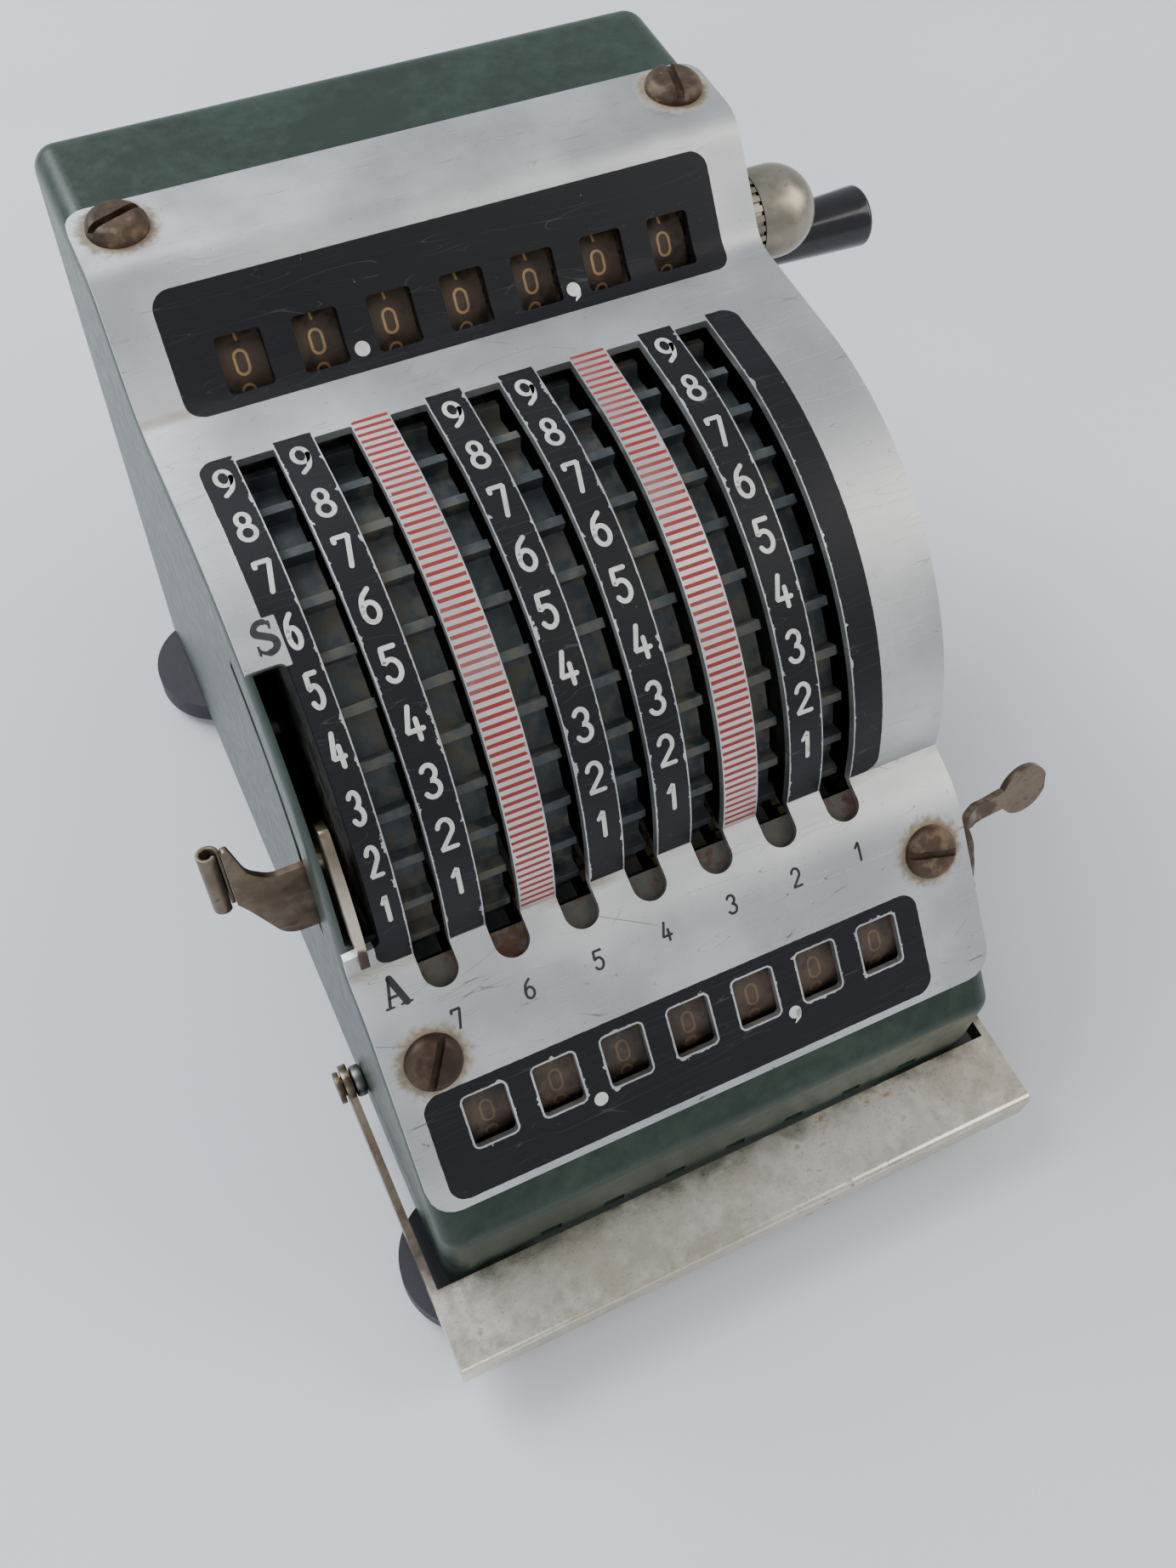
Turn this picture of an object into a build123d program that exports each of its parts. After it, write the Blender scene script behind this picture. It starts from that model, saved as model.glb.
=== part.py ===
from build123d import *
import math
import os

os.makedirs("parts", exist_ok=True)

# Column adding machine. Everything is drawn about the main shaft, which runs along X at the
# origin: -Y is the operator's side and +Z is up. Each piece is moved onto the table at export.

# ---- columns and setting wheels
columns = 7
column_pitch = 10.0
column_x = [(columns + 1) / 2 * column_pitch - column_pitch * n for n in range(1, columns + 1)]
ridge_count = 38                    # finger ridges round a setting wheel
step = 360 / ridge_count            # turn of a wheel for one digit
steps_to_stop = 9
wheel_rim_width = 4.4
wheel_tip_r = 41.8
wheel_rim_r = 39.6
wheel_rim_inner_r = 36.4
wheel_web = 1.4
ridge_width = 1.3
digit_five_angle = 58.5             # from -Y towards +Z, where the digit 5 stands
running = 0.05                      # radial clearance of a turning fit
fixed_fit = 0.02                    # radial clearance of a riveted or pressed fit

# ---- face plate and case profile (side view)
plate_t = 1.2
plate_rear_y = 42.5
plate_rear_corner_r = 3.0
plate_front_corner_r = 4.0
cut_depth = 3.0                     # reach of the cuts through the sheet, each way
case_left = -41.3
case_right = 47.1
plate_left = case_left + 0.1         # the plate stops just short of the case's sides
plate_right = case_right - 0.4
case_back_y = 61.0
case_front_y = -73.5
case_top_z = 56.2
case_bottom_z = -42.6
case_wall = 1.0
case_corner_r = 3.2
drum_cover_r = 43.2                 # case skin over the wheels
upper_panel_slope = 51.0
upper_panel_at = (24.18, 48.95)
shelf_slope = 20.0
shelf_at = (-44.09, 4.27)
lower_panel_slope = 47.5
lower_panel_at = (-59.115, -7.711)
plate_end_y = -70.25
top_bend_r = 4.8
upper_crease_r = 6.0
lower_bend_r = 12.8
nose_r = 3.0
back_top_r = 4.0

# ---- openings in the plate
slot_width = 4.88
slot_top_y = 8.0
slot_end_y = -49.0
upper_window = (6.0, 7.1)
upper_window_shift = 3.57           # result windows stand right of their slots
upper_window_y = 21.02
lower_window = (6.14, 7.6)
lower_window_y = -62.6
window_corner_r = 0.5
notch_reach = 5.2                   # straight part of a slot's foot, behind its round end
lever_gap_x = -36.3
lever_gap_low = 13.0
lever_gap_high = 64.0

# ---- shafts and dials
main_shaft_r = 3.0
result_axis = (28.3, 40.8)
result_shaft_r = 2.5
result_dial_r = 7.0
result_dial_width = 6.4
check_axis = (-56.7, -15.1)
check_shaft_r = 2.0
check_dial_r = 6.5
check_dial_left = 3.6
check_dial_right = 3.4
gear_module = 1.2
gear_left = 3.6                     # gear layer, measured right of each column's centre
gear_t = 1.2
idler_teeth = 26
dial_teeth = 10
idler_axis = (-35.1, -15.5)
idler_pin_r = 1.5
tooth_addendum = 0.40
tooth_dedendum = 0.72

# ---- frame
frame_t = 1.2
left_frame_x = -36.0
right_frame_x = 40.4
frame_inset = 2.6
column_plate_left = 5.3
column_plate_t = 0.8
tie_rod_r = 2.0
frame_foot = (124.0, 8.0)
frame_foot_y = -5.0
frame_hole_at = (28.0, -14.0)
frame_hole = (22.0, 34.0, 4.0)
rod_end = 0.8                       # how far a rod stands out of the frame
tie_rods_at = [(52.0, -30.0), (52.0, 22.0), (-62.0, -34.0)]
base_t = 1.2
floor_z = -50.0
foot_r = 10.5
foot_bottom_r = 9.0
foot_taper_h = 2.0
foot_x = (-36.5, 41.3)
foot_y = (-69.5, 48.0)

# ---- operating parts
bail_front_y = -86.0
bail_left = case_left - 3.2          # room for an arm and its spring at each side
bail_right = case_right + 2.9
bail_t = 1.2
bail_top_z = -37.0
bail_lip = 6.0
bail_arm_height = 4.0
bail_pivot = (-40.0, -38.6)
bail_pin_r = 1.5
bail_hub_r = 3.2
rivet_rim = 1.0                     # how far a rivet head overhangs its pin
rivet_t = 0.8
grip_end_x = case_right + 27.9
grip_axis = (34.0, 30.0)
grip_big_r = 4.65
grip_small_r = 3.6
grip_pin_r = 1.5
grip_end_round = 0.8
grip_bore_end = 2.5                 # solid end of the grip beyond its bore
dome_r = 6.5
dome_x = case_right + 6.9
ring_r = 6.6
ring_t = 2.5
crank_t = 2.4
crank_root_r = 5.3
crank_end_r = 3.6
mode_x = case_left + 1.8
mode_t = 1.2
mode_hub_r = 6.0
mode_tab_r = 31.4
mode_tab_angle = 11.5
mode_tab_width = 12.0
curl_x = case_left - 10.8
curl_r = 1.6
curl_length = 10.5
curl_rise = 8.5
clear_x = case_right + 0.4
clear_t = 1.2
clear_hub_r = 3.8
clear_tip_r = 2.2
clear_neck = 3.0
clear_pad = (clear_x + 12.5, -51.3, -4.0)
clear_pad_r = 4.1

on_table = Location((-(curl_x - curl_r + grip_end_x) / 2,
                     -(bail_front_y + case_back_y) / 2, -floor_z))


def polar(radius, degrees):
    """A point in the side view, from the front (-Y) round towards the top (+Z)."""
    return (-radius * math.cos(math.radians(degrees)), radius * math.sin(math.radians(degrees)))


def side_plane(x, axis=(0, 0)):
    """A side-view plane at x with its origin on an axis: local X is rearward, local Y is up."""
    return Plane(origin=(x, axis[0], axis[1]), x_dir=(0, 1, 0), z_dir=(1, 0, 0))


def meet(point_a, slope_a, point_b, slope_b):
    """Where two sloping lines of the side view cross."""
    rise_a = math.tan(math.radians(slope_a))
    rise_b = math.tan(math.radians(slope_b))
    y = (point_b[1] - point_a[1] + rise_a * point_a[0] - rise_b * point_b[0]) / (rise_a - rise_b)
    return (y, point_a[1] + rise_a * (y - point_a[0]))


def gear_points(teeth, phase):
    """Outline of a spur gear whose first tooth points at phase degrees from +Y towards +Z."""
    pitch_r = gear_module * teeth / 2
    levels = [(pitch_r - gear_module * tooth_dedendum, 0.58), (pitch_r + gear_module * tooth_addendum, 0.28)]
    points = []
    for tooth in range(teeth):
        middle = phase + 360 / teeth * tooth
        for radius, side in ((levels[0][0], -levels[0][1]), (levels[1][0], -levels[1][1]),
                             (levels[1][0], levels[1][1]), (levels[0][0], levels[0][1])):
            angle = math.radians(middle + side * 180 / teeth)
            points.append((radius * math.cos(angle), radius * math.sin(angle)))
    return points


def surface_plane(y, z, slope, x=0.0):
    """A plane on the plate's face: X across, Y up the slope, Z out of the plate."""
    lean = math.radians(slope)
    return Plane(origin=(x, y, z), x_dir=(1, 0, 0), z_dir=(0, -math.sin(lean), math.cos(lean)))


def on_line(point, slope, y, rise=0.0):
    """Height of a sloping skin line at y, lifted by rise along its own normal."""
    lean = math.radians(slope)
    return point[1] + math.tan(lean) * (y - point[0]) + rise / math.cos(lean)


# ---- side profile of the case skin, which is also the underside of the face plate
top_corner = meet(upper_panel_at, upper_panel_slope, (0, case_top_z), 0)
crease = meet(upper_panel_at, upper_panel_slope, (0, drum_cover_r), 0)
shelf_rise = math.radians(shelf_slope)
shelf_gap = -shelf_at[0] * math.sin(shelf_rise) + shelf_at[1] * math.cos(shelf_rise)
cover_end = math.degrees(math.asin(shelf_gap / drum_cover_r)) - shelf_slope
shelf_corner = meet(shelf_at, shelf_slope, lower_panel_at, lower_panel_slope)
nose_corner = (case_front_y, on_line(lower_panel_at, lower_panel_slope, case_front_y))
shelf_start = polar(drum_cover_r, cover_end)

with BuildSketch() as skin_profile:
    with BuildLine():
        Polyline((case_back_y, case_bottom_z), (case_back_y, case_top_z), top_corner, crease,
                 (0, drum_cover_r))
        ThreePointArc((0, drum_cover_r), polar(drum_cover_r, (90 + cover_end) / 2), shelf_start)
        Polyline(shelf_start, shelf_corner, nose_corner, (case_front_y, case_bottom_z),
                 (case_back_y, case_bottom_z))
    make_face()
    for corner, bend_r in ((top_corner, top_bend_r), (crease, upper_crease_r), (shelf_corner, lower_bend_r),
                           (nose_corner, nose_r), ((case_back_y, case_top_z), back_top_r)):
        fillet(skin_profile.vertices().sort_by_distance(Vector(corner[0], corner[1], 0))[0], bend_r)

# ---- face plate: the skin profile thickened outwards, then cut to its front stretch
plate_end_z = on_line(lower_panel_at, lower_panel_slope, plate_end_y, plate_t)
end_lean = math.radians(lower_panel_slope)
end_cut = (-30 * math.sin(end_lean), 30 * math.cos(end_lean))

with BuildSketch() as plate_profile:
    add(skin_profile.sketch)
    offset(amount=plate_t, kind=Kind.INTERSECTION)
    add(skin_profile.sketch, mode=Mode.SUBTRACT)
    with BuildLine():
        Polyline((plate_rear_y, 80), (plate_rear_y, 0), (0, 0),
                 (plate_end_y - end_cut[0], plate_end_z - end_cut[1]),
                 (plate_end_y + end_cut[0], plate_end_z + end_cut[1]), (-110, 80), close=True)
    make_face(mode=Mode.INTERSECT)

with BuildSketch() as cover_sector:          # everything over the wheels, down to the shelf
    with BuildLine():
        Polyline((0, 0), polar(90, cover_end + 0.15), (-90, 90), (slot_top_y, 90), (slot_top_y, 0),
                 close=True)
    make_face()

with BuildSketch() as lever_sector:          # the window that the mode lever's pointer runs in
    with BuildLine():
        Polyline((0, 0), polar(70, lever_gap_low), polar(80, (lever_gap_low + lever_gap_high) / 2),
                 polar(70, lever_gap_high), close=True)
    make_face()

notch_y = slot_end_y + slot_width / 2 * math.cos(shelf_rise)
notch_z = on_line(shelf_at, shelf_slope, notch_y, plate_t)
upper_window_z = on_line(upper_panel_at, upper_panel_slope, upper_window_y, plate_t)
lower_window_z = on_line(lower_panel_at, lower_panel_slope, lower_window_y, plate_t)
screw_places = [surface_plane(37.5, case_top_z + plate_t, 0, -35.4),
                surface_plane(37.5, case_top_z + plate_t, 0, 41.2),
                surface_plane(-55.5, on_line(lower_panel_at, lower_panel_slope, -55.5, plate_t),
                              lower_panel_slope, -34.8),
                surface_plane(-55.5, on_line(lower_panel_at, lower_panel_slope, -55.5, plate_t),
                              lower_panel_slope, 40.6)]
screw_turns = [20, 78, 62, -15]
screw_shank_r = 1.9
screw_hole_r = 2.1
screw_head_r = 3.9
screw_head_h = 1.9
screw_slot = 1.1
screw_slot_depth = 1.0

with BuildPart() as face_plate:
    with BuildSketch(Plane.YZ.offset(plate_left)):
        add(plate_profile.sketch)
    extrude(amount=plate_right - plate_left)
    fillet(face_plate.edges().filter_by(Axis.Z).group_by(Axis.Y)[-1], plate_rear_corner_r)
    thickness_edges = face_plate.edges().filter_by(lambda e: e.length < plate_t * 1.01)
    fillet(thickness_edges.group_by(Axis.Y)[0], plate_front_corner_r)
    for x in column_x:
        with BuildSketch(Plane.YZ.offset(x - slot_width / 2)):
            add(cover_sector.sketch)
        extrude(amount=slot_width, mode=Mode.SUBTRACT)
        with BuildSketch(surface_plane(notch_y, notch_z, shelf_slope, x)):
            Circle(slot_width / 2)
            Rectangle(slot_width, notch_reach, align=(Align.CENTER, Align.MIN))
        extrude(amount=cut_depth, both=True, mode=Mode.SUBTRACT)
        with BuildSketch(surface_plane(upper_window_y, upper_window_z, upper_panel_slope,
                                       x + upper_window_shift)):
            RectangleRounded(*upper_window, window_corner_r)
        extrude(amount=cut_depth, both=True, mode=Mode.SUBTRACT)
        with BuildSketch(surface_plane(lower_window_y, lower_window_z, lower_panel_slope, x)):
            RectangleRounded(*lower_window, window_corner_r)
        extrude(amount=cut_depth, both=True, mode=Mode.SUBTRACT)
    with BuildSketch(Plane.YZ.offset(plate_left - 1)):
        add(lever_sector.sketch)
    extrude(amount=lever_gap_x - plate_left + 1, mode=Mode.SUBTRACT)
    for place in screw_places:
        with BuildSketch(place):
            Circle(screw_hole_r)
        extrude(amount=cut_depth, both=True, mode=Mode.SUBTRACT)
face_plate.part.label = "face_plate"
export_step(face_plate.part.moved(on_table), "parts/face_plate.step")

# ---- plate screws: slotted round heads
with BuildPart() as plate_screws:
    for place, turn in zip(screw_places, screw_turns):
        with BuildSketch(place):
            Circle(screw_head_r)
        extrude(amount=screw_head_h)
        fillet(plate_screws.edges().filter_by(GeomType.CIRCLE).sort_by_distance(
            place.origin + place.z_dir * screw_head_h)[0], screw_head_h * 0.8)
        with BuildSketch(place):
            Circle(screw_shank_r - fixed_fit)
        extrude(amount=-(plate_t + case_wall))
        with BuildSketch(place.offset(screw_head_h)):
            Rectangle(screw_head_r * 2 + 1, screw_slot, rotation=turn)
        extrude(amount=-screw_slot_depth, mode=Mode.SUBTRACT)
plate_screws.part.label = "plate_screws"
export_step(plate_screws.part.moved(on_table), "parts/plate_screws.step")

# ---- case shell: one folded and welded sheet, open below and under the face plate
open_rear_y = 30.0
open_front_y = -50.0
open_left = lever_gap_x
dial_open = (-58.0, -69.3)
dial_open_x = (-35.2, 36.0)
mode_slot = (30.0, 33.2)
mode_slot_angles = (-4.0, 72.0)
ring_bore_r = result_shaft_r + 0.6
comb_slot = (3.2, 2.0)

with BuildPart() as case_inside:
    with BuildSketch(Plane.YZ.offset(case_left + case_wall)):
        add(skin_profile.sketch)
        offset(amount=-case_wall)
    extrude(amount=case_right - case_left - 2 * case_wall)
    inside_verticals = case_inside.edges().filter_by(Axis.Z).group_by(Axis.Y)
    fillet(inside_verticals[0] + inside_verticals[-1], case_corner_r - case_wall)
    with BuildSketch(Plane.XY.offset(case_bottom_z - 1)):
        with Locations(((case_left + case_right) / 2, (case_front_y + case_back_y) / 2)):
            RectangleRounded(case_right - case_left - 2 * case_wall, case_back_y - case_front_y - 2 * case_wall,
                             case_corner_r - case_wall)
    extrude(amount=case_wall + 2)

with BuildPart() as case_shell:
    with BuildSketch(Plane.YZ.offset(case_left)):
        add(skin_profile.sketch)
    extrude(amount=case_right - case_left)
    verticals = case_shell.edges().filter_by(Axis.Z).group_by(Axis.Y)
    fillet(verticals[0] + verticals[-1], case_corner_r)
    add(case_inside.part, mode=Mode.SUBTRACT)
    with BuildSketch(Plane.YZ.offset(open_left)):
        with BuildLine():
            Polyline((open_rear_y, 90), (open_rear_y, 0), (open_front_y, -8), (open_front_y, 90), close=True)
        make_face()
    extrude(amount=right_frame_x - open_left, mode=Mode.SUBTRACT)
    with BuildSketch(Plane.YZ.offset(dial_open_x[0])):
        with BuildLine():
            Polyline((dial_open[0], 40), (dial_open[0], -13), (dial_open[1], -24), (dial_open[1], 40),
                     close=True)
        make_face()
    extrude(amount=dial_open_x[1] - dial_open_x[0], mode=Mode.SUBTRACT)
    with BuildSketch(Plane.YZ.offset(case_left + case_wall)):
        add(lever_sector.sketch)
    extrude(amount=open_left - case_left - case_wall, mode=Mode.SUBTRACT)
    with BuildSketch(Plane.YZ.offset(case_left - 1)) as mode_slot_sketch:
        Circle(mode_slot[1])
        Circle(mode_slot[0], mode=Mode.SUBTRACT)
        with BuildLine():
            Polyline((0, 0), polar(60, mode_slot_angles[0]), polar(90, sum(mode_slot_angles) / 2),
                     polar(60, mode_slot_angles[1]), close=True)
        make_face(mode=Mode.INTERSECT)
    extrude(amount=case_wall + 2, mode=Mode.SUBTRACT)
    with BuildSketch(Plane.YZ.offset(case_right - case_wall - 1)):
        with Locations(result_axis):
            Circle(ring_bore_r)
        with Locations(check_axis):
            Circle(check_shaft_r + fixed_fit)
        with Locations(bail_pivot):
            Circle(bail_pin_r + fixed_fit)
    extrude(amount=case_wall + 2, mode=Mode.SUBTRACT)
    with BuildSketch(Plane.YZ.offset(case_left - 1)):
        with Locations(bail_pivot):
            Circle(bail_pin_r + fixed_fit)
    extrude(amount=case_wall + 2, mode=Mode.SUBTRACT)
    for place in screw_places:
        with BuildSketch(place):
            Circle(screw_shank_r)
        extrude(amount=-cut_depth, mode=Mode.SUBTRACT)
    for x in column_x:
        with BuildSketch(Plane.XZ.offset(-case_front_y - case_wall - 1)):
            with Locations((x + 4.6, -35.4)):
                Rectangle(*comb_slot)
        extrude(amount=case_wall + 2, mode=Mode.SUBTRACT)
case_shell.part.label = "case_shell"
export_step(case_shell.part.moved(on_table), "parts/case_shell.step")

# ---- base plate, feet and their screws
foot_screw_r = 1.5
foot_screw_head_r = 3.2
foot_recess = 2.6
foot_screw_head_t = 1.6
foot_spots = [(x, y) for x in foot_x for y in foot_y]
foot_names = ["front_left_foot", "rear_left_foot", "front_right_foot", "rear_right_foot"]
base_bottom_z = case_bottom_z - base_t

with BuildPart() as base_plate:
    with BuildSketch(Plane.XY.offset(base_bottom_z)):
        with Locations(((case_left + case_right) / 2, (case_front_y + case_back_y) / 2)):
            RectangleRounded(case_right - case_left, case_back_y - case_front_y, case_corner_r)
        with Locations(*foot_spots):
            Circle(foot_screw_r + fixed_fit, mode=Mode.SUBTRACT)
    extrude(amount=base_t)
base_plate.part.label = "base_plate"
export_step(base_plate.part.moved(on_table), "parts/base_plate.step")

for name, spot in zip(foot_names, foot_spots):
    with BuildPart() as foot:
        with BuildSketch(Plane.XY.offset(floor_z)):
            with Locations(spot):
                Circle(foot_bottom_r)
        with BuildSketch(Plane.XY.offset(floor_z + foot_taper_h)):
            with Locations(spot):
                Circle(foot_r)
        loft()
        with BuildSketch(Plane.XY.offset(floor_z + foot_taper_h)):
            with Locations(spot):
                Circle(foot_r)
        extrude(amount=base_bottom_z - floor_z - foot_taper_h)
        with Locations((*spot, base_bottom_z)):
            Hole(foot_screw_r + fixed_fit, depth=base_bottom_z - floor_z)
        with BuildSketch(Plane.XY.offset(floor_z)):
            with Locations(spot):
                Circle(foot_screw_head_r + 0.3)
        extrude(amount=foot_recess, mode=Mode.SUBTRACT)
    foot.part.label = name
    export_step(foot.part.moved(on_table), f"parts/{name}.step")

with BuildPart() as foot_screws:
    with BuildSketch(Plane.XY.offset(floor_z + foot_recess)):
        with Locations(*foot_spots):
            Circle(foot_screw_head_r)
    extrude(amount=-foot_screw_head_t)
    with BuildSketch(Plane.XY.offset(floor_z + foot_recess)):
        with Locations(*foot_spots):
            Circle(foot_screw_r)
    extrude(amount=case_bottom_z - floor_z - foot_recess)
foot_screws.part.label = "foot_screws"
export_step(foot_screws.part.moved(on_table), "parts/foot_screws.step")

# ---- setting wheels
hub_r = 5.4
hub_left = 3.8
hub_right = 5.2

with BuildPart() as setting_wheel:
    with BuildSketch(Plane.YZ.offset(-wheel_web / 2)):
        Circle(wheel_rim_inner_r + 0.2)
    extrude(amount=wheel_web)
    with BuildSketch(Plane.YZ.offset(-wheel_rim_width / 2)):
        Circle(wheel_rim_r)
        Circle(wheel_rim_inner_r, mode=Mode.SUBTRACT)
        first_ridge = 180 - digit_five_angle + step / 2
        with PolarLocations((wheel_tip_r + wheel_rim_r) / 2 - 0.3, ridge_count, start_angle=first_ridge):
            Trapezoid(wheel_tip_r - wheel_rim_r + 0.6, ridge_width, 90, rotation=0)
    extrude(amount=wheel_rim_width)
    with BuildSketch(Plane.YZ.offset(-hub_left)):
        Circle(hub_r)
    extrude(amount=hub_left + hub_right)
    with BuildSketch(Plane.YZ.offset(gear_left)):
        with BuildLine():
            Polyline(*gear_points(ridge_count, math.degrees(math.atan2(idler_axis[1], idler_axis[0]))),
                     close=True)
        make_face()
    extrude(amount=gear_t)
    with BuildSketch(Plane.YZ.offset(-hub_left)):
        Circle(main_shaft_r + running)
    extrude(amount=hub_left + hub_right, mode=Mode.SUBTRACT)
for column, x in enumerate(column_x, 1):
    piece = setting_wheel.part.moved(Location((x, 0, 0)))
    piece.label = f"setting_wheel_{column}"
    export_step(piece.moved(on_table), f"parts/setting_wheel_{column}.step")

# ---- idlers between the wheels and the check dials
toward_idler = math.degrees(math.atan2(idler_axis[1], idler_axis[0]))
idler_phase = toward_idler + 180 + 180 / idler_teeth
toward_check = math.degrees(math.atan2(check_axis[1] - idler_axis[1], check_axis[0] - idler_axis[0]))
idler_share = ((toward_check - idler_phase) / (360 / idler_teeth)) % 1
check_phase = toward_check + 180 + (idler_share - 0.5) * 360 / dial_teeth

with BuildPart() as idler_gear:
    with BuildSketch(side_plane(gear_left + 0.1, idler_axis)):
        with BuildLine():
            Polyline(*gear_points(idler_teeth, idler_phase), close=True)
        make_face()
        Circle(idler_pin_r + running, mode=Mode.SUBTRACT)
    extrude(amount=gear_t - 0.2)
for column, x in enumerate(column_x, 1):
    piece = idler_gear.part.moved(Location((x, 0, 0)))
    piece.label = f"idler_gear_{column}"
    export_step(piece.moved(on_table), f"parts/idler_gear_{column}.step")

# ---- check dials, under the lower windows
with BuildPart() as check_dial:
    with BuildSketch(side_plane(-check_dial_left, check_axis)):
        Circle(check_dial_r)
    extrude(amount=check_dial_left + check_dial_right)
    with BuildSketch(side_plane(check_dial_right, check_axis)):
        with BuildLine():
            Polyline(*gear_points(dial_teeth, check_phase), close=True)
        make_face()
    extrude(amount=gear_left + gear_t - check_dial_right)
    with BuildSketch(side_plane(-check_dial_left, check_axis)):
        Circle(check_shaft_r + running)
    extrude(amount=check_dial_left + gear_left + gear_t, mode=Mode.SUBTRACT)
for column, x in enumerate(column_x, 1):
    piece = check_dial.part.moved(Location((x, 0, 0)))
    piece.label = f"check_dial_{column}"
    export_step(piece.moved(on_table), f"parts/check_dial_{column}.step")

# ---- result dials, under the upper windows
result_gear_t = 2.2
result_dial_left = upper_window_shift - result_dial_width / 2
result_hub_r = 4.0

with BuildPart() as result_dial:
    with BuildSketch(side_plane(result_dial_left, result_axis)):
        Circle(result_dial_r)
    extrude(amount=result_dial_width)
    with BuildSketch(side_plane(result_dial_left + result_dial_width, result_axis)):
        with BuildLine():
            Polyline(*gear_points(dial_teeth, 0), close=True)
        make_face()
    extrude(amount=result_gear_t)
    with BuildSketch(side_plane(result_dial_left + result_dial_width + result_gear_t, result_axis)):
        Circle(result_hub_r)
    extrude(amount=column_pitch - result_dial_width - result_gear_t - 0.15)
    with BuildSketch(side_plane(result_dial_left, result_axis)):
        Circle(result_shaft_r + running)
    extrude(amount=column_pitch, mode=Mode.SUBTRACT)
for column, x in enumerate(column_x, 1):
    piece = result_dial.part.moved(Location((x, 0, 0)))
    piece.label = f"result_dial_{column}"
    export_step(piece.moved(on_table), f"parts/result_dial_{column}.step")

# ---- column plates: one between every pair of wheels, each carrying an idler pin
plate_foot = (-26.0, -12.0)
plate_hub_r = 8.0
plate_boss_r = 4.5
plate_foot_top = -5.0

with BuildSketch() as column_plate_profile:
    Circle(plate_hub_r)
    with Locations(idler_axis):
        Circle(plate_boss_r)
    with Locations(check_axis):
        Circle(plate_boss_r)
    make_hull()
    with Locations(((plate_foot[0] + plate_foot[1]) / 2, case_bottom_z)):
        Rectangle(plate_foot[1] - plate_foot[0], plate_foot_top - case_bottom_z,
                  align=(Align.CENTER, Align.MIN))
    Circle(main_shaft_r + fixed_fit, mode=Mode.SUBTRACT)
    with Locations(idler_axis):
        Circle(idler_pin_r + fixed_fit, mode=Mode.SUBTRACT)
    with Locations(check_axis):
        Circle(check_shaft_r + fixed_fit, mode=Mode.SUBTRACT)

with BuildPart() as column_plates:
    for x in column_x:
        with BuildSketch(Plane.YZ.offset(x + column_plate_left)):
            add(column_plate_profile.sketch)
        extrude(amount=column_plate_t)
column_plates.part.label = "column_plates"
export_step(column_plates.part.moved(on_table), "parts/column_plates.step")

with BuildPart() as idler_pins:
    for x in column_x:
        with BuildSketch(side_plane(x + gear_left - 0.1, idler_axis)):
            Circle(idler_pin_r)
        extrude(amount=column_plate_left + column_plate_t - gear_left + 0.1)
idler_pins.part.label = "idler_pins"
export_step(idler_pins.part.moved(on_table), "parts/idler_pins.step")

# ---- main frame
frame_names = ["left_frame_plate", "right_frame_plate"]
for name, left in zip(frame_names, (left_frame_x, right_frame_x)):
    with BuildPart() as frame_plate:
        with BuildSketch(Plane.YZ.offset(left)):
            add(skin_profile.sketch)
            offset(amount=-frame_inset)
            with Locations((frame_foot_y, case_bottom_z)):
                Rectangle(*frame_foot, align=(Align.CENTER, Align.MIN))
            with Locations(frame_hole_at):
                RectangleRounded(*frame_hole, mode=Mode.SUBTRACT)
            Circle(main_shaft_r + fixed_fit, mode=Mode.SUBTRACT)
            with Locations(result_axis):
                Circle(result_shaft_r + running, mode=Mode.SUBTRACT)
            with Locations(check_axis):
                Circle(check_shaft_r + fixed_fit, mode=Mode.SUBTRACT)
            with Locations(*tie_rods_at):
                Circle(tie_rod_r + fixed_fit, mode=Mode.SUBTRACT)
            with Locations(bail_pivot):
                Circle(bail_pin_r + fixed_fit, mode=Mode.SUBTRACT)
        extrude(amount=frame_t)
    frame_plate.part.label = name
    export_step(frame_plate.part.moved(on_table), f"parts/{name}.step")

with BuildPart() as tie_rods:
    for place in tie_rods_at:
        with BuildSketch(side_plane(left_frame_x - rod_end, place)):
            Circle(tie_rod_r)
        extrude(amount=right_frame_x + frame_t - left_frame_x + 2 * rod_end)
tie_rods.part.label = "tie_rods"
export_step(tie_rods.part.moved(on_table), "parts/tie_rods.step")

with BuildPart() as main_shaft:
    with BuildSketch(side_plane(case_left + case_wall + 0.1)):
        Circle(main_shaft_r)
    extrude(amount=right_frame_x + frame_t + 1.0 - case_left - case_wall)
main_shaft.part.label = "main_shaft"
export_step(main_shaft.part.moved(on_table), "parts/main_shaft.step")

with BuildPart() as check_shaft:
    with BuildSketch(side_plane(left_frame_x - rod_end, check_axis)):
        Circle(check_shaft_r)
    extrude(amount=clear_x + clear_t + 0.4 - left_frame_x + rod_end)
    with BuildSketch(side_plane(clear_x + clear_t + 0.2, check_axis)):
        Circle(check_shaft_r + rivet_rim)
    extrude(amount=rivet_t)
check_shaft.part.label = "check_shaft"
export_step(check_shaft.part.moved(on_table), "parts/check_shaft.step")

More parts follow.
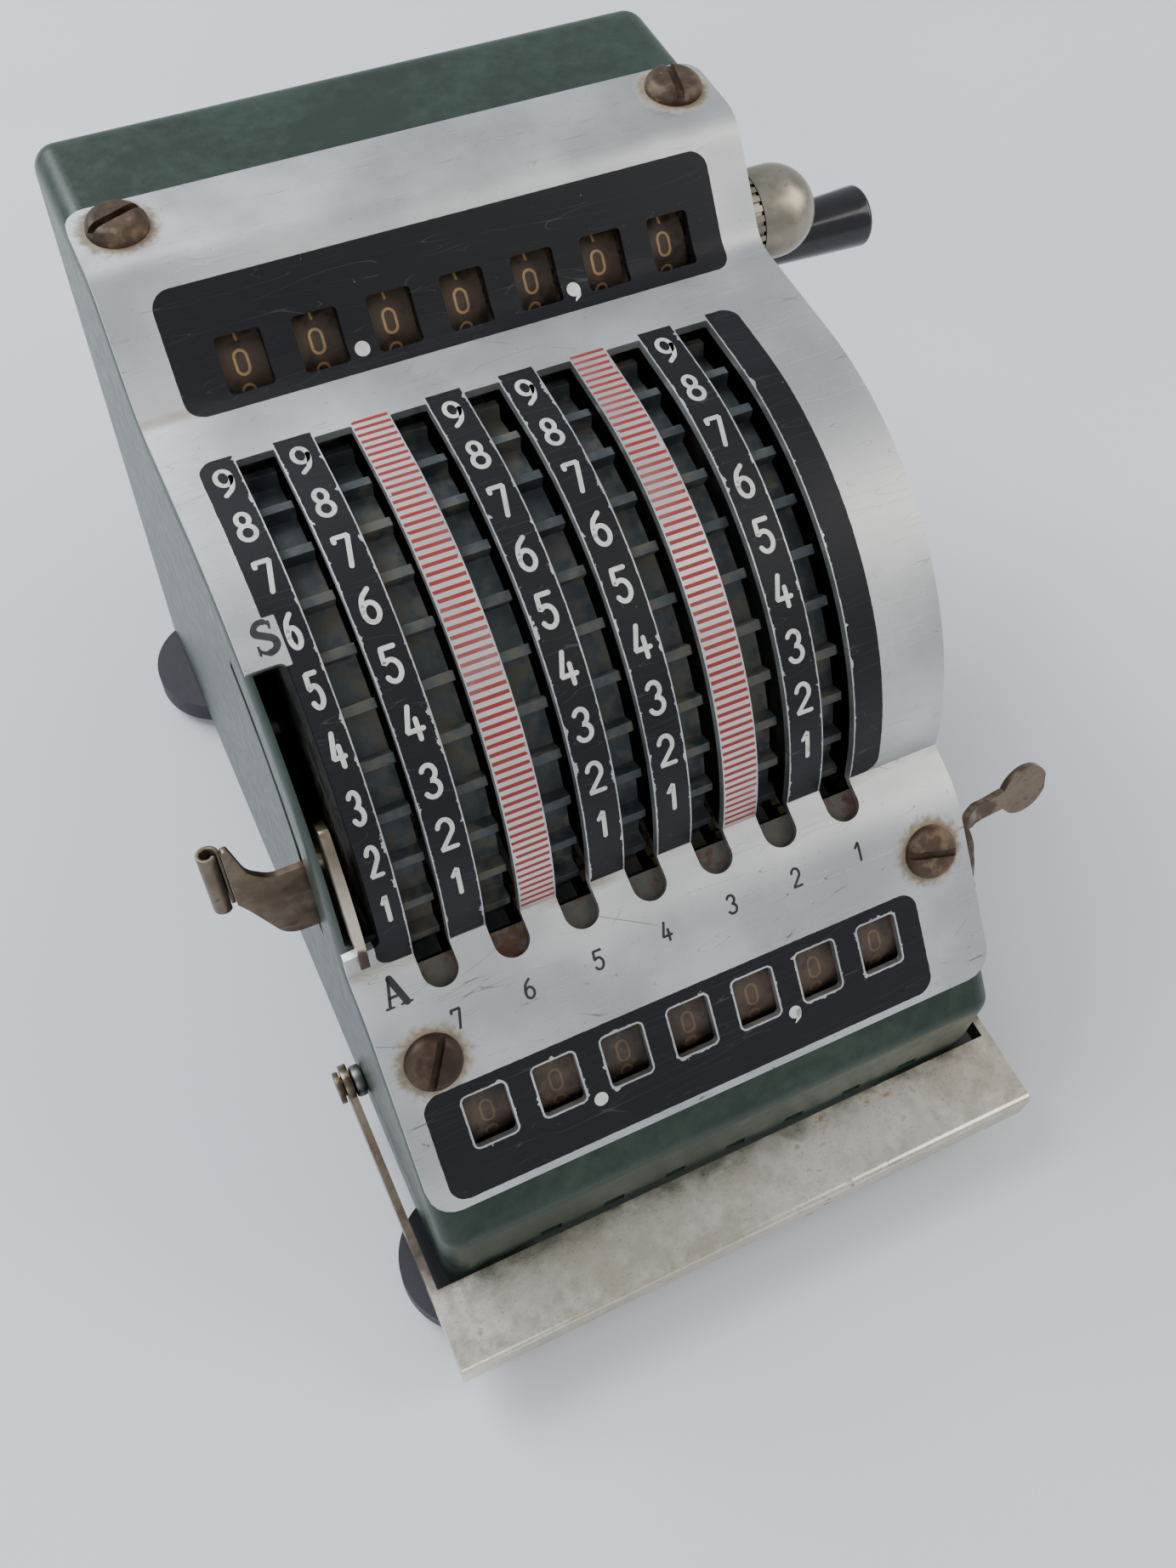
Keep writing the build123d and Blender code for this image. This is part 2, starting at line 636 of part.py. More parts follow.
# ---- stop bar under the slot ends, and the detent comb behind the wheels
stop_bar_y = (-44.7, -49.8)
stop_bar_t = 4.0
with BuildPart() as stop_bar:
    with BuildSketch(Plane.YZ.offset(left_frame_x + frame_t)):
        with BuildLine():
            lean = shelf_rise
            drop = (stop_bar_t * math.sin(lean), -stop_bar_t * math.cos(lean))
            rear = (stop_bar_y[0], on_line(shelf_at, shelf_slope, stop_bar_y[0]))
            front = (stop_bar_y[1], on_line(shelf_at, shelf_slope, stop_bar_y[1]) - 0.6)
            Polyline(rear, front, (front[0] + drop[0], front[1] + drop[1] + 0.6), (rear[0], rear[1] + drop[1]),
                     close=True)
        make_face()
    extrude(amount=right_frame_x - left_frame_x - frame_t)
stop_bar.part.label = "stop_bar"
export_step(stop_bar.part.moved(on_table), "parts/stop_bar.step")

comb_t = 1.0
comb_y = 47.0
comb_top_z = -5.0
comb_foot = 7.0
finger_rise = 9.0
finger_gap = 0.4                    # between a finger's tip and the wheel ridges
finger_t = 0.6
finger_width = 3.2
with BuildPart() as detent_comb:
    with BuildSketch(Plane.YZ.offset(left_frame_x + frame_t)):
        with BuildLine():
            Polyline((comb_y, case_bottom_z), (comb_y, comb_top_z), (comb_y + comb_t, comb_top_z),
                     (comb_y + comb_t, case_bottom_z + comb_t), (comb_y + comb_foot, case_bottom_z + comb_t),
                     (comb_y + comb_foot, case_bottom_z), close=True)
        make_face()
    extrude(amount=right_frame_x - left_frame_x - frame_t)
    for x in column_x:
        with BuildSketch(Plane.YZ.offset(x - finger_width / 2)):
            with BuildLine():
                Polyline((comb_y + comb_t, comb_top_z - 1), (comb_y + comb_t, comb_top_z + 4),
                         (wheel_tip_r + finger_gap + finger_t, comb_top_z + finger_rise),
                         (wheel_tip_r + finger_gap, comb_top_z + finger_rise - finger_t),
                         (comb_y, comb_top_z + 4 - finger_t), (comb_y, comb_top_z - 1), close=True)
            make_face()
        extrude(amount=finger_width)
detent_comb.part.label = "detent_comb"
export_step(detent_comb.part.moved(on_table), "parts/detent_comb.step")

# ---- press bar: a bail across the front with an arm down each side
bail_rear_y = case_front_y - 0.6
arm_xs = (bail_left, bail_right - bail_t)
with BuildPart() as press_bar:
    with BuildSketch(Plane.YZ.offset(bail_left)):
        with BuildLine():
            Polyline((bail_rear_y, bail_top_z), (bail_front_y, bail_top_z), (bail_front_y, bail_top_z - bail_lip),
                     (bail_front_y + bail_t, bail_top_z - bail_lip), (bail_front_y + bail_t, bail_top_z - bail_t),
                     (bail_rear_y, bail_top_z - bail_t), close=True)
        make_face()
    extrude(amount=bail_right - bail_left)
    fillet(press_bar.edges().filter_by(Axis.X).sort_by_distance((0, bail_front_y, bail_top_z))[0], 1.0)
    for x in arm_xs:
        with BuildSketch(Plane.YZ.offset(x)):
            with BuildLine():
                Polyline((bail_front_y + 1, bail_top_z - 0.2), (bail_pivot[0], bail_top_z - 0.2),
                         (bail_pivot[0], bail_top_z - bail_arm_height),
                         (bail_front_y + 4, bail_top_z - bail_arm_height),
                         (bail_front_y + 1, bail_top_z - bail_lip), close=True)
            make_face()
            with Locations(bail_pivot):
                Circle(bail_hub_r)
                Circle(bail_pin_r + running, mode=Mode.SUBTRACT)
        extrude(amount=bail_t)
press_bar.part.label = "press_bar"
export_step(press_bar.part.moved(on_table), "parts/press_bar.step")

with BuildPart() as press_bar_pins:
    for inner, outer in ((left_frame_x + frame_t, bail_left - 0.3), (right_frame_x, bail_right + 0.3)):
        with BuildSketch(side_plane(inner, bail_pivot)):
            Circle(bail_pin_r)
        extrude(amount=outer - inner)
        with BuildSketch(side_plane(outer, bail_pivot)):
            Circle(bail_pin_r + rivet_rim)
        extrude(amount=math.copysign(rivet_t, outer - inner))
press_bar_pins.part.label = "press_bar_pins"
export_step(press_bar_pins.part.moved(on_table), "parts/press_bar_pins.step")

with BuildPart() as press_bar_springs:
    for left, right in ((bail_left + bail_t + 0.2, case_left - 0.1),
                        (case_right + 0.1, bail_right - bail_t - 0.2)):
        with BuildSketch(side_plane(left, bail_pivot)):
            Circle(bail_pin_r + rivet_rim)
            Circle(bail_pin_r + 0.1, mode=Mode.SUBTRACT)
        extrude(amount=right - left)
press_bar_springs.part.label = "press_bar_springs"
export_step(press_bar_springs.part.moved(on_table), "parts/press_bar_springs.step")

# ---- mode lever: pointer in the plate's window, thumb tab through the case's left side
tab_mid = polar(mode_tab_r, mode_tab_angle)
tab_plane = Plane(origin=(0, tab_mid[0], tab_mid[1]), x_dir=(-1, 0, 0),
                  z_dir=(0, -math.cos(math.radians(mode_tab_angle)), math.sin(math.radians(mode_tab_angle))))
pointer_r = (40.6, 44.0)
pointer_angles = (14.5, 38.0)
with BuildPart() as mode_lever:
    with BuildSketch(Plane.YZ.offset(mode_x)):
        with BuildLine():
            Polyline((0, 0), polar(40.8, 4), polar(41.2, 12), polar(41.2, 22), polar(41.0, 30), close=True)
        make_face()
        Circle(mode_hub_r)
        Circle(main_shaft_r + running, mode=Mode.SUBTRACT)
    extrude(amount=mode_t)
    with BuildSketch(Plane.YZ.offset(mode_x)):
        Circle(pointer_r[1])
        Circle(pointer_r[0] - 1.0, mode=Mode.SUBTRACT)
        with BuildLine():
            Polyline((0, 0), polar(60, pointer_angles[0]), polar(66, sum(pointer_angles) / 2),
                     polar(60, pointer_angles[1]), close=True)
        make_face(mode=Mode.INTERSECT)
    extrude(amount=mode_t)
    with BuildSketch(tab_plane.offset(-mode_t / 2)):
        half = mode_tab_width / 2
        neck_x = -curl_x - curl_r * 0.6
        with BuildLine():
            Polyline((-mode_x - mode_t, -half), (-case_left + 2.4, -half), (neck_x - 1.5, curl_rise - 3.0),
                     (neck_x, curl_rise - 2.6), (neck_x, curl_rise + 2.2), (-case_left + 4.6, half - 0.5),
                     (-case_left + 1.6, half), (-mode_x - mode_t, half), close=True)
        make_face()
    extrude(amount=mode_t)
    curl_middle = tab_plane.from_local_coords(Vector(-curl_x, curl_rise, 0))
    curl_plane = Plane(origin=curl_middle, x_dir=(1, 0, 0), z_dir=tab_plane.y_dir)
    with BuildSketch(curl_plane.offset(-curl_length / 2)):
        Circle(curl_r)
        Circle(curl_r * 0.45, mode=Mode.SUBTRACT)
    extrude(amount=curl_length)
mode_lever.part.label = "mode_lever"
export_step(mode_lever.part.moved(on_table), "parts/mode_lever.step")

# ---- clearing lever on the right-hand end of the check shaft
clear_top = (-53.4, -3.4)
pad_plane = Plane(origin=clear_pad, x_dir=(1, 0, 0), z_dir=(0, -0.94, 0.34))
with BuildPart() as clear_lever:
    with BuildSketch(side_plane(clear_x)):
        with Locations(check_axis):
            Circle(clear_hub_r)
        with Locations(clear_top):
            Circle(clear_tip_r)
        make_hull()
        with Locations(check_axis):
            Circle(check_shaft_r + running, mode=Mode.SUBTRACT)
    extrude(amount=clear_t)
    with BuildSketch(pad_plane.offset(-clear_t / 2)):
        Circle(clear_pad_r)
        with Locations((-(clear_pad[0] - clear_x) / 2, 0)):
            Rectangle(clear_pad[0] - clear_x, clear_neck)
    extrude(amount=clear_t)
clear_lever.part.label = "clear_lever"
export_step(clear_lever.part.moved(on_table), "parts/clear_lever.step")

# ---- zeroing crank: result shaft, serrated ring, domed crank and turning grip
serrations = 30
serration = (1.0, 0.8)
with BuildPart() as serrated_ring:
    with BuildSketch(side_plane(case_right, result_axis)):
        Circle(ring_r - 0.5)
        with PolarLocations(ring_r - 0.5, serrations):
            Rectangle(*serration)
        Circle(result_shaft_r + running, mode=Mode.SUBTRACT)
    extrude(amount=ring_t)
serrated_ring.part.label = "serrated_ring"
export_step(serrated_ring.part.moved(on_table), "parts/serrated_ring.step")

crank_left = case_right + ring_t + 0.2
with BuildPart() as result_shaft:
    with BuildSketch(side_plane(left_frame_x - rod_end, result_axis)):
        Circle(result_shaft_r)
    extrude(amount=dome_x - left_frame_x + rod_end)
result_shaft.part.label = "result_shaft"
export_step(result_shaft.part.moved(on_table), "parts/result_shaft.step")

with BuildPart() as crank:
    with BuildSketch(side_plane(crank_left)):
        with Locations(result_axis):
            Circle(crank_root_r)
        with Locations(grip_axis):
            Circle(crank_end_r)
        make_hull()
    extrude(amount=crank_t)
    dome_side = dome_x - crank_left
    dome_axis = Axis((crank_left, *result_axis), (1, 0, 0))
    with BuildSketch(Plane(origin=(crank_left, *result_axis), x_dir=(1, 0, 0), z_dir=(0, 0, 1))):
        with BuildLine():
            Polyline((dome_side + dome_r, 0), (0, 0), (0, dome_r), (dome_side, dome_r))
            RadiusArc((dome_side, dome_r), (dome_side + dome_r, 0), dome_r)
        make_face()
    revolve(axis=dome_axis)
    with BuildSketch(side_plane(crank_left, result_axis)):
        Circle(result_shaft_r + fixed_fit)
    extrude(amount=dome_side + 0.1, mode=Mode.SUBTRACT)
    with BuildSketch(side_plane(crank_left, grip_axis)):
        Circle(grip_pin_r + fixed_fit)
    extrude(amount=crank_t, mode=Mode.SUBTRACT)
crank.part.label = "crank"
export_step(crank.part.moved(on_table), "parts/crank.step")

grip_left = crank_left + crank_t + 0.3
with BuildPart() as grip_pin:
    with BuildSketch(side_plane(crank_left, grip_axis)):
        Circle(grip_pin_r)
    extrude(amount=grip_end_x - grip_bore_end - 0.5 - crank_left)
grip_pin.part.label = "grip_pin"
export_step(grip_pin.part.moved(on_table), "parts/grip_pin.step")

with BuildPart() as crank_grip:
    with BuildSketch(side_plane(grip_left, grip_axis)):
        Circle(grip_small_r)
    with BuildSketch(side_plane(grip_end_x, grip_axis)):
        Circle(grip_big_r)
    loft()
    fillet(crank_grip.edges().sort_by(Axis.X)[-1], grip_end_round)
    with BuildSketch(side_plane(grip_left, grip_axis)):
        Circle(grip_pin_r + running)
    extrude(amount=grip_end_x - grip_bore_end - grip_left, mode=Mode.SUBTRACT)
crank_grip.part.label = "crank_grip"
export_step(crank_grip.part.moved(on_table), "parts/crank_grip.step")
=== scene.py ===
# %% [markdown]
# # A stylus adding machine
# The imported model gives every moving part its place. This lesson gives the machine its surfaces: cut and
# folded sheet metal, painted numbers, cast wheels, worn nickel and textured enamel. All shapes are worked
# out with numpy in millimetres about the main shaft and are then put into the frame in metres.

# %% Load the frame
import math
import bpy
import bmesh
import numpy as np
from mathutils import Matrix, Vector


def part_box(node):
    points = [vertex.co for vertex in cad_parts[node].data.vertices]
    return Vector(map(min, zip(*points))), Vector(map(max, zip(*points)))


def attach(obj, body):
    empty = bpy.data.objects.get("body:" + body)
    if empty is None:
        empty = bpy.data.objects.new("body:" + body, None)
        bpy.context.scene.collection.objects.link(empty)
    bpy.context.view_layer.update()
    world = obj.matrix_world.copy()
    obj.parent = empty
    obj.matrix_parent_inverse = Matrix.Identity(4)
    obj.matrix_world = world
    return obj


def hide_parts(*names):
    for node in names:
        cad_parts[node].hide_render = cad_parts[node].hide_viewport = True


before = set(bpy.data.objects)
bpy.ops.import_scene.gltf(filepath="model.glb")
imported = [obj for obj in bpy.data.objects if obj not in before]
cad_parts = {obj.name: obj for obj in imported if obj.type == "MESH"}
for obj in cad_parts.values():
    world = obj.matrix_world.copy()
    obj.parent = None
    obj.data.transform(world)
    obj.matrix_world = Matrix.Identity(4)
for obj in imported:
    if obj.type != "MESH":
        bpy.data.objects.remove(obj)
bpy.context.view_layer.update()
shaft_low, shaft_high = (np.array(corner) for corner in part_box("main_shaft"))
wheel_low = np.array(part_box("setting_wheel_4")[0])
HUB_LEFT = 3.8                      # mm, how far a wheel's hub reaches left of its column's centre
origin = np.array([wheel_low[0] + HUB_LEFT / 1000, *((shaft_low + shaft_high) / 2)[1:]])
COLUMNS = 7
PITCH = 10.0
MIDDLE_COLUMN = (COLUMNS + 1) / 2
column_x = {n: (MIDDLE_COLUMN - n) * PITCH for n in range(1, COLUMNS + 1)}
print("main shaft at", origin.round(4))


def to_frame(points):
    """Millimetres about the main shaft become metres in the machine's frame."""
    return np.asarray(points, float) / 1000 + origin


# %% [markdown]
# ## Building meshes
# A grid of points carries most of the pieces here: rows along a path and columns across it, with quads between
# neighbours. A path with rounded corners is the other tool, because bent metal has no sharp folds.

# %% Mesh helpers
def make_mesh(name, points, faces, body="machine", uv=None, smooth=True):
    """A mesh object from points in mm and faces, with an optional UV pair for every point."""
    mesh = bpy.data.meshes.new(name)
    mesh.from_pydata(to_frame(points).tolist(), [], [list(map(int, face)) for face in faces])
    if uv is not None:
        layer = mesh.uv_layers.new(name="sheet")
        corner_points = np.empty(len(mesh.loops), dtype=np.int32)
        mesh.loops.foreach_get("vertex_index", corner_points)
        layer.data.foreach_set("uv", np.asarray(uv, float)[corner_points].ravel().astype(np.float32))
    mesh.shade_smooth() if smooth else mesh.shade_flat()
    mesh.update()
    piece = bpy.data.objects.new(name, mesh)
    bpy.context.scene.collection.objects.link(piece)
    if body:
        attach(piece, body)
    return piece


def grid_faces(rows, columns):
    """Quads between rows and columns of a grid, four point numbers each."""
    r, c = np.meshgrid(np.arange(rows - 1), np.arange(columns - 1), indexing="ij")
    first = r * columns + c
    return np.stack([first, first + 1, first + columns + 1, first + columns], axis=-1).reshape(-1, 4)


def rounded(corners, radii, steps=7):
    """A path through corners, each replaced by an arc that touches both of its runs."""
    corners = np.asarray(corners, float)
    path = [corners[0]]
    for before, corner, after, radius in zip(corners[:-2], corners[1:-1], corners[2:], radii):
        into, out = before - corner, after - corner
        into, out = into / np.linalg.norm(into), out / np.linalg.norm(out)
        half = math.acos(np.clip(into @ out, -1, 1)) / 2
        middle = corner + (into + out) / np.linalg.norm(into + out) * radius / math.sin(half)
        start = corner + into * radius / math.tan(half) - middle
        end = corner + out * radius / math.tan(half) - middle
        sweep = math.acos(np.clip(start @ end / radius ** 2, -1, 1))
        for t in np.linspace(0, 1, steps):
            spoke = math.sin((1 - t) * sweep) * start + math.sin(t * sweep) * end
            path.append(middle + spoke / math.sin(sweep))
    path.append(corners[-1])
    return np.array(path)


# %% [markdown]
# ## The fold line of the face plate
# The plate is one strip of sheet aluminium, folded and rolled. Its side view is a path: flat top, bend, window
# panel, crease, a quarter turn over the wheels, crease, a sloping shelf, a wide bend and the lower window
# panel. Measured along this path, every slot and window can be cut flat and then wrapped.

# %% Side view of the plate
DRUM_R = 44.4
TOP_Z = 57.4
PLATE_T = 1.2
SLOPES = {"upper": 51.0, "shelf": 20.0, "lower": 47.5}
UPPER_AT = (23.25, 49.7)
SHELF_AT = (-44.5, 5.4)
LOWER_AT = (-60.0, -6.9)
REAR_Y = 42.5
FRONT_Y = -70.25


def crossing(a, slope_a, b, slope_b):
    """Where two sloping lines of the side view meet."""
    rise_a, rise_b = math.tan(math.radians(slope_a)), math.tan(math.radians(slope_b))
    y = (b[1] - a[1] + rise_a * a[0] - rise_b * b[0]) / (rise_a - rise_b)
    return (y, a[1] + rise_a * (y - a[0]))


top_bend = crossing(UPPER_AT, SLOPES["upper"], (0, TOP_Z), 0)
upper_crease = crossing(UPPER_AT, SLOPES["upper"], (0, DRUM_R), 0)
shelf_bend = crossing(SHELF_AT, SLOPES["shelf"], LOWER_AT, SLOPES["lower"])
front_end = (FRONT_Y, LOWER_AT[1] + math.tan(math.radians(SLOPES["lower"])) * (FRONT_Y - LOWER_AT[0]))
lean = math.radians(SLOPES["shelf"])
shelf_distance = -SHELF_AT[0] * math.sin(lean) + SHELF_AT[1] * math.cos(lean)
arc_end = math.degrees(math.asin(shelf_distance / DRUM_R)) - SLOPES["shelf"]
arc = [(-DRUM_R * math.cos(math.radians(a)), DRUM_R * math.sin(math.radians(a)))
       for a in np.linspace(90, arc_end, 90)]
corner_path = rounded([(REAR_Y, TOP_Z), top_bend, upper_crease, (0, DRUM_R)], [6.0, 4.8], 14)
front_path = rounded([arc[-1], shelf_bend, front_end], [14.0], 14)
fold = np.vstack([corner_path, arc[1:], front_path[1:]])
fold_s = np.concatenate([[0], np.cumsum(np.linalg.norm(np.diff(fold, axis=0), axis=1))])
dense_s = np.linspace(0, fold_s[-1], 3000)
dense = np.stack([np.interp(dense_s, fold_s, fold[:, i]) for i in (0, 1)], axis=1)
tangent = np.gradient(dense, dense_s, axis=0)
tangent /= np.linalg.norm(tangent, axis=1)[:, None]
FOLD_LENGTH = fold_s[-1]


def s_at_y(y):
    """Distance along the fold line, from the rear edge, of the point at depth y."""
    return float(np.interp(-y, -dense[:, 0], dense_s))


S_TOP = s_at_y(0)                    # where the plate starts to turn over the wheels


def s_at_angle(angle):
    """Distance along the fold line of a point on the drum, angle in degrees up from the operator's side."""
    return S_TOP + DRUM_R * math.radians(90 - angle)


def wrap(x, s, lift=0.0):
    """Puts flat sheet coordinates onto the folded plate; lift is the height above its face."""
    x, s = np.asarray(x, float), np.asarray(s, float)
    y = np.interp(s, dense_s, dense[:, 0])
    z = np.interp(s, dense_s, dense[:, 1])
    ty = np.interp(s, dense_s, tangent[:, 0])
    tz = np.interp(s, dense_s, tangent[:, 1])
    return np.stack([x, y + tz * lift, z - ty * lift], axis=-1)


print("plate length along its folds", round(FOLD_LENGTH, 1), "mm, drum from", round(S_TOP, 1))

# %% [markdown]
# ## Cutting the plate flat
# The blank is drawn as closed outlines: the sheet with rounded corners, seven finger slots, fourteen windows
# and four screw holes. A filled curve turns nested outlines into a surface with holes, cuts across it give
# it enough rows to bend, and each point is then wrapped onto the fold line. Solidify and Bevel give the
# sheet its edge.

# %% Outlines in sheet coordinates (x across, s along the folds)
PLATE_X = (-41.2, 46.7)
SLOT_W = 4.88
SLOT_TOP_Y = 8.0
SLOT_END_Y = -49.0
UPPER_WINDOW = (6.0, 7.1)
UPPER_SHIFT = 3.57
UPPER_Y = 21.02
LOWER_WINDOW = (6.14, 7.6)
LOWER_Y = -62.6
GAP_X = -36.3
GAP_ANGLES = (13.0, 64.0)
SCREWS = [(-35.4, 37.5), (41.2, 37.5), (-34.8, -55.5), (40.6, -55.5)]
SCREW_HOLE_R = 2.1


def rounded_box(x0, x1, s0, s1, radii, steps=6):
    """A closed outline with its four corners rounded; radii in the order x0s0, x1s0, x1s1, x0s1."""
    corners = [(x0, s0, 180), (x1, s0, 270), (x1, s1, 0), (x0, s1, 90)]
    points = []
    for (x, s, start), radius in zip(corners, radii):
        centre = (x + (radius if x == x0 else -radius), s + (radius if s == s0 else -radius))
        turn = np.radians(np.linspace(start, start + 90, steps if radius > 0 else 1))
        points += [(centre[0] + radius * math.cos(t), centre[1] + radius * math.sin(t)) for t in turn]
    return points


slot_s = (s_at_y(SLOT_TOP_Y), s_at_y(SLOT_END_Y))
upper_s = s_at_y(UPPER_Y)
lower_s = s_at_y(LOWER_Y)
gap_s = (s_at_angle(GAP_ANGLES[1]), s_at_angle(GAP_ANGLES[0]))
outline = rounded_box(*PLATE_X, 0, FOLD_LENGTH, (3, 3, 4, 4))
sheet_edge = outline + [(PLATE_X[0], gap_s[1] + 0.4)] + [
    (x, s) for x, s in rounded_box(PLATE_X[0], GAP_X, gap_s[0], gap_s[1], (0, 1.0, 1.0, 0))
    if x > PLATE_X[0] + 0.01][::-1] + [(PLATE_X[0], gap_s[0])]
cuts = []
for x in column_x.values():
    cuts.append(rounded_box(x - SLOT_W / 2, x + SLOT_W / 2, *slot_s,
                            (0.3, 0.3, SLOT_W / 2 - 0.01, SLOT_W / 2 - 0.01), 9))
    cuts.append(rounded_box(x + UPPER_SHIFT - UPPER_WINDOW[0] / 2, x + UPPER_SHIFT + UPPER_WINDOW[0] / 2,
                            upper_s - UPPER_WINDOW[1] / 2, upper_s + UPPER_WINDOW[1] / 2, (0.6,) * 4))
    cuts.append(rounded_box(x - LOWER_WINDOW[0] / 2, x + LOWER_WINDOW[0] / 2,
                            lower_s - LOWER_WINDOW[1] / 2, lower_s + LOWER_WINDOW[1] / 2, (0.7,) * 4))
for x, y in SCREWS:
    around = np.linspace(0, 2 * np.pi, 24, endpoint=False)
    cuts.append([(x + SCREW_HOLE_R * math.cos(t), s_at_y(y) + SCREW_HOLE_R * math.sin(t)) for t in around])


def cut_sheet(name, outlines, step=1.0):
    """Fills nested outlines and cuts the surface across every step mm, so that it can bend."""
    curve = bpy.data.curves.new(name, "CURVE")
    curve.dimensions = "2D"
    curve.fill_mode = "BOTH"
    for points in outlines:
        spline = curve.splines.new("POLY")
        spline.points.add(len(points) - 1)
        spline.points.foreach_set("co", np.array([(x, s, 0, 1) for x, s in points], float).ravel())
        spline.use_cyclic_u = True
    flat = bpy.data.objects.new(name, curve)
    mesh = bpy.data.meshes.new_from_object(flat)
    bpy.data.objects.remove(flat)
    sheet = bmesh.new()
    sheet.from_mesh(mesh)
    bmesh.ops.remove_doubles(sheet, verts=sheet.verts, dist=1e-4)
    low = min(v.co.y for v in sheet.verts)
    high = max(v.co.y for v in sheet.verts)
    for s in np.arange(math.ceil(low / step) * step, high, step):
        everything = list(sheet.verts) + list(sheet.edges) + list(sheet.faces)
        bmesh.ops.bisect_plane(sheet, geom=everything, plane_co=(0, s, 0), plane_no=(0, 1, 0), dist=1e-4)
    bmesh.ops.triangulate(sheet, faces=sheet.faces)
    sheet.to_mesh(mesh)
    sheet.free()
    points = np.empty(len(mesh.vertices) * 3)
    mesh.vertices.foreach_get("co", points)
    faces = [tuple(face.vertices) for face in mesh.polygons]
    bpy.data.meshes.remove(mesh)
    return points.reshape(-1, 3)[:, :2], faces


flat_points, flat_faces = cut_sheet("blank", [sheet_edge] + cuts)
plate = make_mesh("face_plate_sheet", wrap(flat_points[:, 0], flat_points[:, 1]), flat_faces,
                  uv=flat_points / 1000)
print("sheet has", len(flat_points), "points and", len(flat_faces), "triangles")

# %% Give the sheet its thickness
def facing(piece, outward):
    """Turns a piece's faces over if most of their area looks against outward."""
    total = sum(Vector(outward(face.center)).dot(face.normal) * face.area for face in piece.data.polygons)
    if total < 0:
        piece.data.flip_normals()


facing(plate, lambda c: (0, -0.6, 0.8))
wall = plate.modifiers.new("thickness", "SOLIDIFY")
wall.thickness = PLATE_T / 1000
wall.offset = -1
edge = plate.modifiers.new("worn edge", "BEVEL")
edge.width = 0.14 / 1000
edge.segments = 2
edge.limit_method = "ANGLE"
edge.angle_limit = math.radians(50)
edge.harden_normals = True
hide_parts("face_plate")

# %% [markdown]
# ## Materials
# Every finish is built from nodes. One function adds a node, sets its values and joins its links. Colours
# are given as the sRGB values one would pick from a swatch, and one function makes them linear for the
# shader.

# %% Material helpers
def colour(hex_value, alpha=1.0):
    """An sRGB hex swatch as linear RGBA."""
    parts = [int(hex_value[i:i + 2], 16) / 255 for i in (1, 3, 5)]
    return (*[p / 12.92 if p <= 0.04045 else ((p + 0.055) / 1.055) ** 2.4 for p in parts], alpha)


MAIN_SETTING = {"Math": "operation", "VectorMath": "operation", "MapRange": "interpolation_type",
                "Mix": "data_type"}


def node(tree, kind, *values, out=0, **settings):
    """Adds one node and gives its output socket out.

    A second word in kind is the node's main setting, such as the operation of a Math node. Values fill its
    inputs in order, or one dict fills them by name or number, and a value that is a socket is linked.
    """
    kind, _, main = kind.partition(" ")
    made = tree.nodes.new("ShaderNode" + kind)
    if main:
        settings[MAIN_SETTING[kind]] = main
    for key, value in settings.items():
        setattr(made, key, value)
    named = values and isinstance(values[0], dict)
    for key, value in (values[0] if named else dict(enumerate(values))).items():
        if isinstance(value, bpy.types.NodeSocket):
            tree.links.new(value, made.inputs[key])
        else:
            made.inputs[key].default_value = value
    return made.outputs[out]


def start(name):
    """A new material with its tree and its Principled shader."""
    material = bpy.data.materials.new(name)
    material.use_nodes = True
    return material, material.node_tree, material.node_tree.nodes["Principled BSDF"]


def apply(piece, material):
    """Puts one material on a piece in place of any it had."""
    piece.data.materials.clear()
    piece.data.materials.append(material)


# %% [markdown]
# ## The printed plate
# The plate is satin anodised aluminium. Its black fields are a lacquer printed on the flat blank before
# folding, so they are drawn here in sheet coordinates as rounded boxes. The lacquer has flaked along the
# slots, where a stylus has rubbed for years, and bare metal shows there. Two strips have fine red lines in
# place of numbers.

# %% Satin aluminium with black lacquer
def box_distance(tree, u, v, x0, x1, s0, s1, radius):
    """Signed distance in mm from a rounded box: negative inside, zero on its outline."""
    across = node(tree, "Math SUBTRACT",
                  node(tree, "Math ABSOLUTE", node(tree, "Math SUBTRACT", u, (x0 + x1) / 2)),
                  (x1 - x0) / 2 - radius)
    along = node(tree, "Math SUBTRACT",
                 node(tree, "Math ABSOLUTE", node(tree, "Math SUBTRACT", v, (s0 + s1) / 2)),
                 (s1 - s0) / 2 - radius)
    outside = node(tree, "Math SQRT",
                   node(tree, "Math ADD",
                        node(tree, "Math POWER", node(tree, "Math MAXIMUM", across, 0.0), 2.0),
                        node(tree, "Math POWER", node(tree, "Math MAXIMUM", along, 0.0), 2.0)))
    inside = node(tree, "Math MINIMUM", node(tree, "Math MAXIMUM", across, along), 0.0)
    return node(tree, "Math SUBTRACT", node(tree, "Math ADD", outside, inside), radius)


DRUM_FIELD = (-37.2, 36.9, s_at_y(9.0), s_at_angle(arc_end) - 0.3)
UPPER_FIELD = (-35.3, 41.0, s_at_y(27.6), s_at_y(16.2))
LOWER_FIELD = (-38.2, 36.9, s_at_y(-58.65), s_at_y(-69.5))
HATCH_PITCH = 1.15

